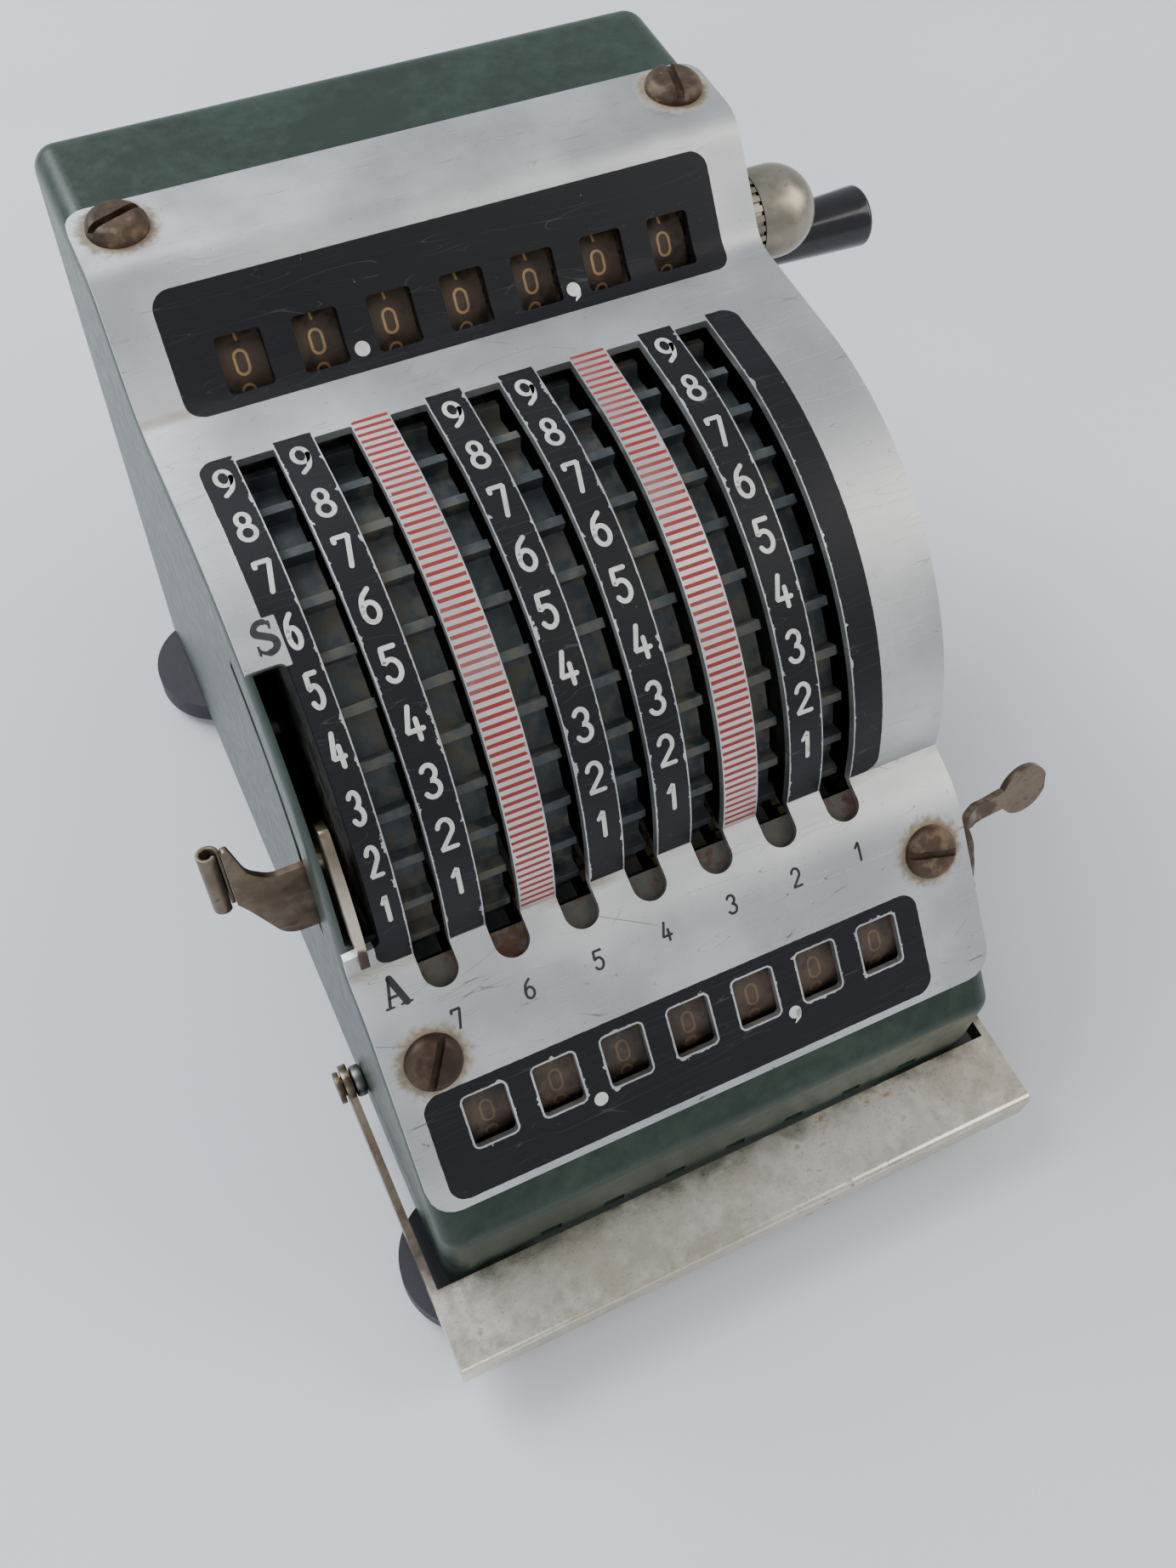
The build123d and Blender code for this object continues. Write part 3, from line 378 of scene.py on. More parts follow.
aluminium, tree, shader = start("satin anodised aluminium with black lacquer")
sheet = node(tree, "UVMap", uv_map="sheet")
millimetres = node(tree, "VectorMath MULTIPLY", sheet, (1000, 1000, 1000))
u = node(tree, "SeparateXYZ", millimetres)
v = node(tree, "SeparateXYZ", millimetres, out=1)
rag = node(tree, "TexNoise", {"Vector": sheet, "Scale": 900, "Detail": 4.0, "Roughness": 0.6})
fine = node(tree, "TexNoise", {"Vector": sheet, "Scale": 5200, "Detail": 2.0})
cloud = node(tree, "TexNoise", {"Vector": sheet, "Scale": 60, "Detail": 4.0})
wobble = node(tree, "Math MULTIPLY", node(tree, "Math SUBTRACT", rag, 0.5), 0.5)
drum = node(tree, "Math ADD", box_distance(tree, u, v, *DRUM_FIELD, 2.2),
            node(tree, "Math MULTIPLY", wobble, 0.4))
upper = node(tree, "Math ADD", box_distance(tree, u, v, *UPPER_FIELD, 2.6),
             node(tree, "Math MULTIPLY", wobble, 0.25))
lower = node(tree, "Math ADD", box_distance(tree, u, v, *LOWER_FIELD, 2.6),
             node(tree, "Math MULTIPLY", wobble, 0.4))
column = node(tree, "Math MULTIPLY", node(tree, "Math ROUND", node(tree, "Math DIVIDE", u, PITCH)), PITCH)
column = node(tree, "Math MINIMUM", node(tree, "Math MAXIMUM", column, -3 * PITCH), 3 * PITCH)
aside = node(tree, "Math SUBTRACT", u, column)
from_slot = node(tree, "Math SUBTRACT", node(tree, "Math ABSOLUTE", aside), SLOT_W / 2)
flakes = node(tree, "MapRange SMOOTHSTEP",
              node(tree, "TexNoise", {"Vector": sheet, "Scale": 330, "Detail": 5.0, "Roughness": 0.7}), 0.52,
              0.72, 0.0, 0.5)
flaked = node(tree, "Math SUBTRACT", node(tree, "Math MULTIPLY", wobble, 0.5), flakes)
chipped = node(tree, "MapRange SMOOTHSTEP", node(tree, "Math ADD", from_slot, flaked), 0.13, 0.2)
window_edge = box_distance(tree, aside, v, -LOWER_WINDOW[0] / 2, LOWER_WINDOW[0] / 2,
                           lower_s - LOWER_WINDOW[1] / 2, lower_s + LOWER_WINDOW[1] / 2, 0.7)
window_worn = node(tree, "MapRange SMOOTHSTEP", node(tree, "Math ADD", window_edge, flaked), 0.22, 0.3)
letter_patch = box_distance(tree, u, v, -39.0, -35.75, s_at_angle(71.3), s_at_angle(GAP_ANGLES[1]) + 0.5, 0.1)
drum_ink = node(tree, "Math MULTIPLY", node(tree, "MapRange SMOOTHSTEP", drum, 0.05, -0.05),
                node(tree, "Math MULTIPLY", chipped,
                     node(tree, "MapRange SMOOTHSTEP", letter_patch, 0.0, 0.1)))
upper_ink = node(tree, "MapRange SMOOTHSTEP", upper, 0.05, -0.05)
lower_ink = node(tree, "Math MULTIPLY", node(tree, "MapRange SMOOTHSTEP", lower, 0.05, -0.05), window_worn)
hatch_strip = node(tree, "MapRange SMOOTHSTEP",
                   node(tree, "Math ABSOLUTE",
                        node(tree, "Math SUBTRACT", node(tree, "Math ABSOLUTE", u), 15.0)), 2.7, 2.6)
wear = node(tree, "MapRange SMOOTHSTEP",
            node(tree, "TexNoise", {"Vector": sheet, "Scale": 420, "Detail": 5.0, "Roughness": 0.7}), 0.7,
            0.74)
black = node(tree, "Math MAXIMUM", node(tree, "Math MAXIMUM", upper_ink, lower_ink),
             node(tree, "Math MULTIPLY", drum_ink, node(tree, "Math SUBTRACT", 1.0, hatch_strip)))
black = node(tree, "Math MULTIPLY", black,
             node(tree, "Math SUBTRACT", 1.0, node(tree, "Math MULTIPLY", wear, 0.8)))
stripe = node(tree, "Math ABSOLUTE",
              node(tree, "Math SUBTRACT",
                   node(tree, "Math FRACT", node(tree, "Math DIVIDE", v, HATCH_PITCH)), 0.5))
stripe = node(tree, "MapRange SMOOTHSTEP",
              node(tree, "Math ADD", stripe, node(tree, "Math MULTIPLY", wobble, 0.12)), 0.25, 0.2)
hatch = node(tree, "Math MULTIPLY", node(tree, "Math MULTIPLY", drum_ink, hatch_strip),
             node(tree, "Math MULTIPLY", stripe,
                  node(tree, "MapRange SMOOTHSTEP", cloud, 0.25, 0.5, 0.8, 1.0)))
blush = node(tree, "Math MULTIPLY", node(tree, "Math MULTIPLY", drum_ink, hatch_strip),
             node(tree, "MapRange SMOOTHSTEP", cloud, 0.3, 0.7, 0.25, 0.6))

scratch = None
for turn, stretch in ((14, 420.0), (-38, 560.0), (71, 620.0), (82, 760.0), (100, 380.0)):
    turned = node(tree, "Mapping",
                  {"Vector": sheet, "Rotation": (0, 0, math.radians(turn)),
                   "Scale": (stretch * 0.1, stretch, 1)})
    line = node(tree, "MapRange SMOOTHSTEP",
                node(tree, "Math ABSOLUTE",
                     node(tree, "Math SUBTRACT",
                          node(tree, "TexNoise", {"Vector": turned, "Scale": 1.0, "Detail": 0.0}), 0.5)),
                0.0045, 0.0)
    broken = node(tree, "MapRange SMOOTHSTEP",
                  node(tree, "TexNoise", {"Vector": turned, "Scale": 0.7, "Detail": 2.0}), 0.52, 0.6)
    line = node(tree, "Math MULTIPLY", line, broken)
    scratch = line if scratch is None else node(tree, "Math MAXIMUM", scratch, line)

nearest = None
for x, y in SCREWS:
    away = node(tree, "VectorMath DISTANCE", millimetres, (x, s_at_y(y), 0), out="Value")
    nearest = away if nearest is None else node(tree, "Math MINIMUM", nearest, away)
stain = node(tree, "MapRange SMOOTHSTEP",
             node(tree, "Math ADD", nearest, node(tree, "Math MULTIPLY", wobble, 6.0)), 6.0, 4.2)
creases = node(tree, "Math MINIMUM",
               node(tree, "Math ABSOLUTE", node(tree, "Math SUBTRACT", v, s_at_y(17.6))),
               node(tree, "Math ABSOLUTE", node(tree, "Math SUBTRACT", v, s_at_angle(arc_end))))
dirt = node(tree, "Math MULTIPLY", node(tree, "MapRange SMOOTHSTEP", creases, 1.6, 0.1),
            node(tree, "MapRange SMOOTHSTEP", cloud, 0.42, 0.72))
grime = node(tree, "Math MAXIMUM", stain, node(tree, "Math MULTIPLY", dirt, 0.8))
pits = node(tree, "MapRange SMOOTHSTEP",
            node(tree, "TexNoise", {"Vector": sheet, "Scale": 1500, "Detail": 2.0}), 0.71, 0.76)

metal = node(tree, "Mix RGBA",
             {0: node(tree, "MapRange SMOOTHSTEP", cloud, 0.35, 0.7), 6: colour("#bdbfbe"),
              7: colour("#d2d3d1")}, out=2)
# The stylus hand rests on the lower half.
handled = node(tree, "MapRange SMOOTHSTEP", v, s_at_y(-30), s_at_y(-52), 0.35, 1.0)
metal = node(tree, "Mix RGBA",
             {0: node(tree, "Math MULTIPLY", node(tree, "Math MULTIPLY", scratch, 0.85), handled), 6: metal,
              7: colour("#6f6b66")}, out=2)
metal = node(tree, "Mix RGBA", {0: node(tree, "Math MULTIPLY", pits, 0.5), 6: metal, 7: colour("#7f776c")},
             out=2)
metal = node(tree, "Mix RGBA", {0: node(tree, "Math MULTIPLY", blush, 0.75), 6: metal, 7: colour("#e6c4bc")},
             out=2)
metal = node(tree, "Mix RGBA", {0: hatch, 6: metal, 7: colour("#84302b")}, out=2)
metal = node(tree, "Mix RGBA",
             {0: node(tree, "Math MULTIPLY", grime, 0.85), 6: metal,
              7: node(tree, "Mix RGBA", {0: rag, 6: colour("#5d4a30"), 7: colour("#94825f")}, out=2)}, out=2)
lacquer = node(tree, "Mix RGBA",
               {0: node(tree, "Math MULTIPLY", scratch, 0.3), 6: colour("#0b0c10"), 7: colour("#55555a")},
               out=2)
tree.links.new(node(tree, "Mix RGBA", {0: black, 6: metal, 7: lacquer}, out=2), shader.inputs["Base Color"])
tree.links.new(node(tree, "MapRange SMOOTHSTEP",
                    node(tree, "Math MAXIMUM", black, node(tree, "Math MAXIMUM", grime, hatch)), 0, 1, 1.0,
                    0.0), shader.inputs["Metallic"])
rough = node(tree, "MapRange SMOOTHSTEP",
             node(tree, "Math ADD", cloud, node(tree, "Math MULTIPLY", fine, 0.3)), 0.4, 0.9, 0.4, 0.5)
tree.links.new(node(tree, "Math ADD", rough, node(tree, "Math MULTIPLY", grime, 0.3)),
               shader.inputs["Roughness"])
relief = node(tree, "Math ADD", node(tree, "Math MULTIPLY", black, 0.5),
              node(tree, "Math SUBTRACT", node(tree, "Math MULTIPLY", fine, 0.1),
                   node(tree, "Math MULTIPLY", scratch, 0.4)))
shader.inputs["Specular IOR Level"].default_value = 0.32
tree.links.new(node(tree, "Bump", {"Strength": 0.6, "Distance": 0.00004, "Height": relief}),
               shader.inputs["Normal"])
apply(plate, aluminium)

# %% [markdown]
# ## Numerals
# The numerals are drawn as pen strokes of even width, like an engraver's template. Each stroke is a ribbon
# with round ends. On the plate the ribbons are wrapped onto the fold line, and on a dial round its drum, a
# hair above the surface, so that they look like paint.

# %% Strokes
def arc_stroke(x, y, rx, ry, first, last, steps=20):
    """Part of an ellipse, degrees counted from the right over the top."""
    turn = np.radians(np.linspace(first, last, steps))
    return [(x + rx * math.cos(t), y + ry * math.sin(t)) for t in turn]


STROKES = {
    "0": [arc_stroke(0, 0.22, 0.42, 0.28, 0, 180, 12) + arc_stroke(0, -0.22, 0.42, 0.28, 180, 360, 12)
          + [(0.42, 0.22)]],
    "1": [[(-0.3, 0.24), (0.1, 0.5), (0.1, -0.5)]],
    "2": [arc_stroke(0, 0.2, 0.42, 0.3, 165, -30, 16) + [(-0.44, -0.5), (0.46, -0.5)]],
    "3": [arc_stroke(-0.03, 0.26, 0.38, 0.24, 155, -90, 16)
          + arc_stroke(-0.03, -0.24, 0.44, 0.26, 90, -155, 18)],
    "4": [[(-0.02, 0.5), (-0.42, -0.22), (0.48, -0.22)], [(0.2, 0.1), (0.2, -0.5)]],
    "5": [[(0.4, 0.5), (-0.32, 0.5), (-0.38, 0.06)] + arc_stroke(-0.04, -0.18, 0.44, 0.32, 125, -150, 20)],
    "6": [[(0.22, 0.5)] + arc_stroke(0.26, -0.16, 0.68, 0.62, 128, 175, 8)
          + arc_stroke(0, -0.2, 0.42, 0.3, 180, 540, 26)],
    "7": [[(-0.42, 0.36), (-0.42, 0.5), (0.42, 0.5), (-0.02, -0.5)]],
    "8": [arc_stroke(0, 0.26, 0.34, 0.24, -90, 270, 24), arc_stroke(0, -0.24, 0.44, 0.26, 90, 450, 24)],
}
STROKES["9"] = [[(-x, -y) for x, y in STROKES["6"][0]]]


def ribbon(path, width, spacing=0.35):
    """A flat ribbon with round ends along a path; width is one number or one for each point of the path."""
    path = np.asarray(path, float)
    length = np.concatenate([[0], np.cumsum(np.linalg.norm(np.diff(path, axis=0), axis=1))])
    at = np.union1d(np.linspace(0, length[-1], max(2, int(length[-1] / spacing) + 2)), length)
    widths = np.interp(at, length, np.broadcast_to(width, len(path)))
    path = np.stack([np.interp(at, length, path[:, i]) for i in (0, 1)], axis=1)
    way = np.gradient(path, axis=0)
    way /= np.linalg.norm(way, axis=1)[:, None]
    side = np.stack([-way[:, 1], way[:, 0]], axis=1) * widths[:, None] / 2
    points = np.stack([path + side, path - side], axis=1).reshape(-1, 2)
    faces = grid_faces(len(path), 2).tolist()
    for end, sign in ((0, -1), (-1, 1)):
        turn = np.radians(np.linspace(90, -90, 7))
        across = np.array([-way[end][1], way[end][0]])
        spoke = np.cos(turn)[:, None] * way[end] * sign + np.sin(turn)[:, None] * across
        cap = path[end] + spoke * widths[end] / 2
        faces.append(list(range(len(points), len(points) + 7)))
        points = np.vstack([points, cap])
    return points, faces


def gather(parts):
    """Joins (points, faces) pairs into one."""
    points, faces, count = [], [], 0
    for more, quads in parts:
        faces += [[count + i for i in face] for face in quads]
        points.append(more)
        count += len(more)
    return np.vstack(points), faces


def glyph(sign, width, height, stroke):
    """One numeral as flat points and faces about its centre."""
    inner = np.array([width - stroke, height - stroke])
    return gather([ribbon(np.array(path) * inner, stroke) for path in STROKES[sign]])


PAINT_LIFT = 0.03


def on_plate(shape, x, s):
    """A flat shape wrapped onto the plate about (x, s), its top towards the rear edge."""
    points, faces = shape
    return wrap(x + points[:, 0], s - points[:, 1], PAINT_LIFT), faces


def disc(radius, x=0.0, y=0.0):
    """A flat disc."""
    turn = np.linspace(0, 2 * np.pi, 28, endpoint=False)
    return np.stack([x + radius * np.cos(turn), y + radius * np.sin(turn)], axis=1), [list(range(28))]


# %% Numerals on the strips between the slots
STEP = 360 / 38
FIVE_ANGLE = 58.5                   # where the 5 of every strip stands, degrees up from the operator's side
NUMERAL_H = 4.7
PEN = 0.62
NUMBER_STRIPS = (-34.7, -25.0, -5.0, 5.0, 25.0)
drawn = []
for x in NUMBER_STRIPS:
    for digit in range(1, 10):
        narrow = x < -30 and digit < 7       # beside the lever's window the strip is narrower
        width = (2.1 if narrow else 2.8) * (0.8 if digit == 1 else 1)
        drawn.append(on_plate(glyph(str(digit), width, NUMERAL_H, PEN), x + (0.3 if narrow else 0),
                              s_at_angle(FIVE_ANGLE + (digit - 5) * STEP)))
comma = gather([disc(0.95, 0, 0.3), ribbon([(0.55, 0.2), (0.45, -0.6), (-0.25, -1.3)], [0.85, 0.6, 0.15])])
point_mark = disc(1.0)
drawn += [on_plate(comma, 15.07, 141.4), on_plate(comma, 18.2, 28.9),
          on_plate(point_mark, -15.1, 141.2), on_plate(point_mark, -11.6, 28.5)]
pale_marks = make_mesh("pale_numerals", *gather(drawn), smooth=False)

# %% Black column numbers and the two letters of the lever's end positions
letter_s = ribbon(arc_stroke(0.05, 0.95, 1.0, 0.95, 25, 200, 14)
                  + arc_stroke(0.0, -0.95, 1.1, 0.95, 65, -160, 18),
                  [0.35, 0.4, 0.5] + [0.7] * 8 + [0.9] * 10 + [0.8] * 6 + [0.5, 0.45, 0.4, 0.35, 0.3])
letter_s = gather([letter_s, ribbon([(0.98, 1.75), (0.92, 0.95)], 0.3),
                   ribbon([(-1.08, -0.9), (-1.12, -1.9)], 0.3)])
letter_a = gather([ribbon([(-0.15, 1.75), (-1.15, -1.75)], 0.42), ribbon([(0.0, 1.7), (1.15, -1.75)], 0.95),
                   ribbon([(-0.85, -0.62), (0.75, -0.62)], 0.38),
                   ribbon([(-1.65, -1.85), (-0.7, -1.85)], 0.3), ribbon([(0.4, -1.85), (1.8, -1.85)], 0.3)])
drawn = [on_plate(glyph(str(n), 1.75, 3.0, 0.36), x - 0.1, 122.0) for n, x in column_x.items()]
drawn += [on_plate(letter_s, -37.6, s_at_angle(68.4)), on_plate(letter_a, -36.5, 115.6)]
dark_marks = make_mesh("dark_numerals", *gather(drawn), smooth=False)
for marks in (pale_marks, dark_marks):
    facing(marks, lambda c: (0, -0.6, 0.8))

# %% Numerals round the dials
def round_dial(shape, x, centre, radius, angle):
    """A flat shape wrapped round a dial; angle is in degrees up from the operator's side."""
    points, faces = shape
    turn = math.radians(angle) + points[:, 1] / radius
    return np.stack([x + points[:, 0], centre[0] - radius * np.cos(turn), centre[1] + radius * np.sin(turn)],
                    axis=1), faces


dial_marks = []
DIALS = {"result": ((28.3, 40.8), 7.0, UPPER_SHIFT, 90 - SLOPES["upper"]),
         "check": ((-56.7, -15.1), 6.5, 0.0, 90 - SLOPES["lower"])}
for kind, (centre, radius, shift, front) in DIALS.items():
    for n, x in column_x.items():
        drawn = [round_dial(glyph(str(digit), 2.3, 3.4, 0.36), x + shift, centre, radius + PAINT_LIFT,
                            front + 36 * digit) for digit in range(10)]
        marks = make_mesh(f"{kind}_numerals_{n}", *gather(drawn), body=f"{kind}_{n}", smooth=False)
        dial_marks.append(marks)
        axis = np.array([0.0, centre[0], centre[1]])
        facing(marks, lambda c, axis=to_frame(axis): (0, c[1] - axis[1], c[2] - axis[2]))

# %% [markdown]
# ## Levers
# Both levers are stamped from strip. The mode lever's thumb piece comes out through the case, narrows into a
# neck and is rolled into a scroll. The clearing lever rises along the right side and twists outwards into a
# round pad.

# %% Mode lever
TAB_R, TAB_ANGLE = 31.4, 11.5
tab_y = -TAB_R * math.cos(math.radians(TAB_ANGLE))
tab_z = TAB_R * math.sin(math.radians(TAB_ANGLE))
along_up = np.array([0, math.sin(math.radians(TAB_ANGLE)), math.cos(math.radians(TAB_ANGLE))])
outward = np.array([0, -math.cos(math.radians(TAB_ANGLE)), math.sin(math.radians(TAB_ANGLE))])


def tab_point(left, rise, out):
    """A place in the thumb piece: left of the shaft, up its tangent and out from its middle plane."""
    left, rise, out = (np.atleast_1d(np.asarray(a, float)) for a in (left, rise, out))
    return (np.array([0, tab_y, tab_z]) + left[:, None] * np.array([-1.0, 0, 0])
            + rise[:, None] * along_up + out[:, None] * outward)


def smooth_outline(corners, radii):
    """A closed outline with rounded corners."""
    corners = np.asarray(corners, float)
    middle = (corners[0] + corners[-1]) / 2
    return rounded([middle, *corners, middle], radii)[:-1]


HALF = 6.0
thumb = smooth_outline([(38.4, -HALF), (45.6, -HALF), (49.4, 1.6), (50.5, 3.4), (50.5, 13.6), (49.6, 13.6),
                        (48.2, 8.2), (45.6, HALF), (38.4, HALF)],
                       [0.2, 3.6, 1.6, 0.4, 0.4, 0.4, 3.6, 3.0, 0.2])
flat, faces = cut_sheet("thumb", [[tuple(p) for p in thumb]], 1.0)
thumb_piece = make_mesh("mode_lever_thumb", tab_point(flat[:, 0], flat[:, 1], 0.5), faces, "mode_lever")
facing(thumb_piece, lambda c: outward)
scroll_turn = np.radians(np.linspace(0, 330, 34))
scroll_r = np.linspace(1.6, 1.15, 34)
scroll = np.stack([52.1 - 1.6 * np.cos(scroll_turn) * scroll_r / 1.6, -0.1 - scroll_r * np.sin(scroll_turn)],
                  axis=1)
rows = np.linspace(3.3, 13.7, 12)
points = np.vstack([tab_point(scroll[:, 0], np.full(len(scroll), rise), scroll[:, 1]) for rise in rows])
scroll_piece = make_mesh("mode_lever_scroll", points, grid_faces(len(rows), len(scroll)), "mode_lever")
scroll_middle = to_frame(tab_point(52.1, 8.5, 0)[0])
facing(scroll_piece, lambda c: c - Vector(scroll_middle))

arm_outline = [(-40.6 * math.cos(math.radians(a)), 40.6 * math.sin(math.radians(a))) for a in (12, 14)]
arm_outline += [(-r * math.cos(math.radians(a)), r * math.sin(math.radians(a)))
                for r, a in [(43.2, 14.4), (44.5, 13.9), (44.7, 10.6), (45.2, 10.2), (45.6, 10.8)]
                + [(45.7, 14.0)] + [(45.7 - 0.05 * (a - 16), a) for a in np.arange(16, 37.1, 1.5)]
                + [(44.3, 37.8), (43.6, 38.1), (41.0, 38.1)] + [(39.4, a) for a in np.arange(37, 25, -2)]]
arm_outline += [(-30.6, 12.4), (-5.2, 4.2), (-2.4, 5.6), (3.2, 4.9), (5.9, 0.4), (3.4, -4.8), (-3.0, -5.3),
                (-30.2, -0.2), (-38.6, 3.2)]
bore = [(3.05 * math.cos(t), 3.05 * math.sin(t)) for t in np.linspace(0, 2 * np.pi, 24, endpoint=False)]
flat, faces = cut_sheet("pointer", [arm_outline, bore], 1.5)
pointer_piece = make_mesh("mode_lever_pointer",
                          np.stack([np.full(len(flat), -39.5), flat[:, 0], flat[:, 1]], axis=1), faces,
                          "mode_lever")
facing(pointer_piece, lambda c: (-1, 0, 0))
for piece, thickness in ((thumb_piece, 1.0), (scroll_piece, 0.55), (pointer_piece, 1.2)):
    solid = piece.modifiers.new("thickness", "SOLIDIFY")
    solid.thickness = thickness / 1000
    solid.offset = -1
    round_edge = piece.modifiers.new("rounded edge", "BEVEL")
    round_edge.width = 0.18 / 1000
    round_edge.segments = 3
    round_edge.limit_method = "ANGLE"
    round_edge.angle_limit = math.radians(45)
    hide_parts("mode_lever")

# %% Clearing lever
strip_path = np.array([(48.1, -57.6, -18.6), (48.1, -56.7, -15.1), (48.1, -55.2, -9.0), (48.1, -54.0, -5.6),
                       (48.9, -52.9, -4.2), (51.0, -52.1, -3.9), (54.0, -51.8, -4.0), (60.0, -51.3, -4.0),
                       (64.0, -51.1, -4.0)])
strip_at = np.array([0, 3.6, 9.9, 13.5, 15.6, 18.0, 21.0, 27.0, 31.0])
strip_face = np.array([(1, 0, 0)] * 4 + [(0.8, -0.55, 0.2), (0.35, -0.88, 0.3)] + [(0, -0.94, 0.34)] * 3,
                      float)
fine_at = np.concatenate([np.linspace(0, 21, 36), 27 - 4.1 * np.cos(np.linspace(0.42, np.pi, 26))])
centre = np.stack([np.interp(fine_at, strip_at, strip_path[:, i]) for i in range(3)], axis=1)
face_way = np.stack([np.interp(fine_at, strip_at, strip_face[:, i]) for i in range(3)], axis=1)
face_way /= np.linalg.norm(face_way, axis=1)[:, None]
ahead = np.gradient(centre, axis=0)
ahead /= np.linalg.norm(ahead, axis=1)[:, None]
across = np.cross(face_way, ahead)
across /= np.linalg.norm(across, axis=1)[:, None]
half = np.interp(fine_at, [0, 0.5, 2.0, 3.6, 9.9, 13.5, 16.0, 19.5, 22.5],
                 [0.6, 2.1, 3.5, 3.8, 2.9, 2.3, 1.9, 1.5, 1.6])
pad = np.sqrt(np.clip(4.1 ** 2 - (fine_at - 27) ** 2, 0, None))
half = np.where(fine_at > 22.6, np.maximum(pad, np.where(fine_at < 24, half, 0.05)), half)
spread = np.linspace(-1, 1, 11)
points = centre[:, None, :] + across[:, None, :] * half[:, None, None] * spread[None, :, None]
points = points.reshape(-1, 3)
clear_piece = make_mesh("clearing_lever_strip", points, grid_faces(len(fine_at), len(spread)), "clear_lever")
solid = clear_piece.modifiers.new("thickness", "SOLIDIFY")
solid.thickness = 1.1 / 1000
solid.offset = 0
round_edge = clear_piece.modifiers.new("rounded edge", "BEVEL")
round_edge.width = 0.25 / 1000
round_edge.segments = 3
round_edge.limit_method = "ANGLE"
round_edge.angle_limit = math.radians(50)
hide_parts("clear_lever")

# %% [markdown]
# ## Finishes
# Paint, cast metal, worn nickel, rubber and glossy plastic. Each finish varies at three scales: broad clouds
# of handling wear, millimetre mottling, and a fine grain that also drives the bump.

# %% Textured enamel
def grain(name, dark, light, roughness, metallic=0.0, scale=700, depth=0.03, dirt=None, dirt_share=0.3,
          spec=0.5):
    """A finish with broad clouds, fine mottling, dirt patches and a grain that raises the surface."""
    material, tree, shader = start(name)
    place = node(tree, "TexCoord", out="Object")
    broad = node(tree, "TexNoise", {"Vector": place, "Scale": 45, "Detail": 4.0, "Roughness": 0.6})
    mottle = node(tree, "TexNoise", {"Vector": place, "Scale": 420, "Detail": 4.0, "Roughness": 0.6})
    small = node(tree, "TexNoise", {"Vector": place, "Scale": scale, "Detail": 3.0, "Roughness": 0.6})
    shade = node(tree, "Mix RGBA",
                 {0: node(tree, "MapRange SMOOTHSTEP",
                          node(tree, "Math ADD", node(tree, "Math MULTIPLY", broad, 0.6),
                               node(tree, "Math MULTIPLY", mottle, 0.4)), 0.38, 0.64), 6: colour(dark),
                  7: colour(light)}, out=2)
    rough = node(tree, "Math ADD",
                 node(tree, "Math MULTIPLY", node(tree, "Math SUBTRACT", mottle, 0.5), 0.3), roughness)
    metal_share = metallic
    if dirt:
        patch = node(tree, "MapRange SMOOTHSTEP",
                     node(tree, "Math ADD", node(tree, "Math MULTIPLY", broad, 0.5),
                          node(tree, "Math MULTIPLY", mottle, 0.5)), 0.62 - dirt_share * 0.3,
                     0.72 - dirt_share * 0.3)
        shade = node(tree, "Mix RGBA", {0: patch, 6: shade, 7: colour(dirt)}, out=2)
        rough = node(tree, "Math ADD", rough, node(tree, "Math MULTIPLY", patch, 0.25))
        if metallic:
            metal_share = node(tree, "Math SUBTRACT", metallic,
                               node(tree, "Math MULTIPLY", patch, metallic * 0.75))
    tree.links.new(shade, shader.inputs["Base Color"])
    tree.links.new(rough, shader.inputs["Roughness"])
    if isinstance(metal_share, bpy.types.NodeSocket):
        tree.links.new(metal_share, shader.inputs["Metallic"])
    else:
        shader.inputs["Metallic"].default_value = metal_share
    shader.inputs["Specular IOR Level"].default_value = spec
    tree.links.new(node(tree, "Bump", {"Strength": 0.5, "Distance": depth / 1000, "Height": small}),
                   shader.inputs["Normal"])
    return material


enamel = grain("dark green-grey textured enamel", "#1c2a21", "#2b3b30", 0.38, scale=1500, depth=0.05,
               spec=0.4)
frame_steel = grain("plain zinc-plated steel", "#6a6a66", "#8a8984", 0.42, 1.0, 900, 0.01, "#4a4239", 0.3)
casting = grain("blackened die-cast zinc with dust", "#3a3f41", "#565b5c", 0.55, 0.35, 1600, 0.05, "#5b574c",
                0.45)
worn_nickel = grain("worn nickel plate with pits", "#c2b8a3", "#dcd5c6", 0.3, 1.0, 2200, 0.03, "#8a7c62",
                    0.08)
dull_nickel = grain("dull nickel plate", "#8b8474", "#a69f90", 0.33, 1.0, 900, 0.015, "#5c4f3c", 0.15)
brown_steel = grain("tarnished strip steel", "#5f5244", "#857764", 0.40, 0.9, 1100, 0.02, "#4a3c2f", 0.35)
rusty_steel = grain("rusty blued screw steel", "#35291f", "#5d4b3a", 0.50, 0.6, 1800, 0.06, "#6f5c44", 0.3)
rubber = grain("black rubber", "#1d1b20", "#2b2930", 0.62, scale=1400, depth=0.04)
black_plastic = grain("gloss black phenolic plastic", "#141316", "#1e1d20", 0.16, scale=500, depth=0.004)
brass = grain("blackened brass", "#3f3625", "#544831", 0.5, 0.8, 800, 0.01, "#2e271c", 0.3)
dial_paint = grain("dark brown dial paint", "#2b2119", "#43352a", 0.55, scale=1500, depth=0.02,
                   dirt="#4d4032", dirt_share=0.5)
rust_bar = grain("rust-stained steel bar", "#3b3a35", "#575349", 0.68, 0.2, 1500, 0.08, "#4a3226", 0.45)
tan_ink = grain("faded tan dial ink", "#8a6a42", "#ad8a5c", 0.55, scale=1400, depth=0.01)
dull_ink = grain("dirty dial ink", "#4a3a28", "#6a553c", 0.6, scale=1400, depth=0.01)
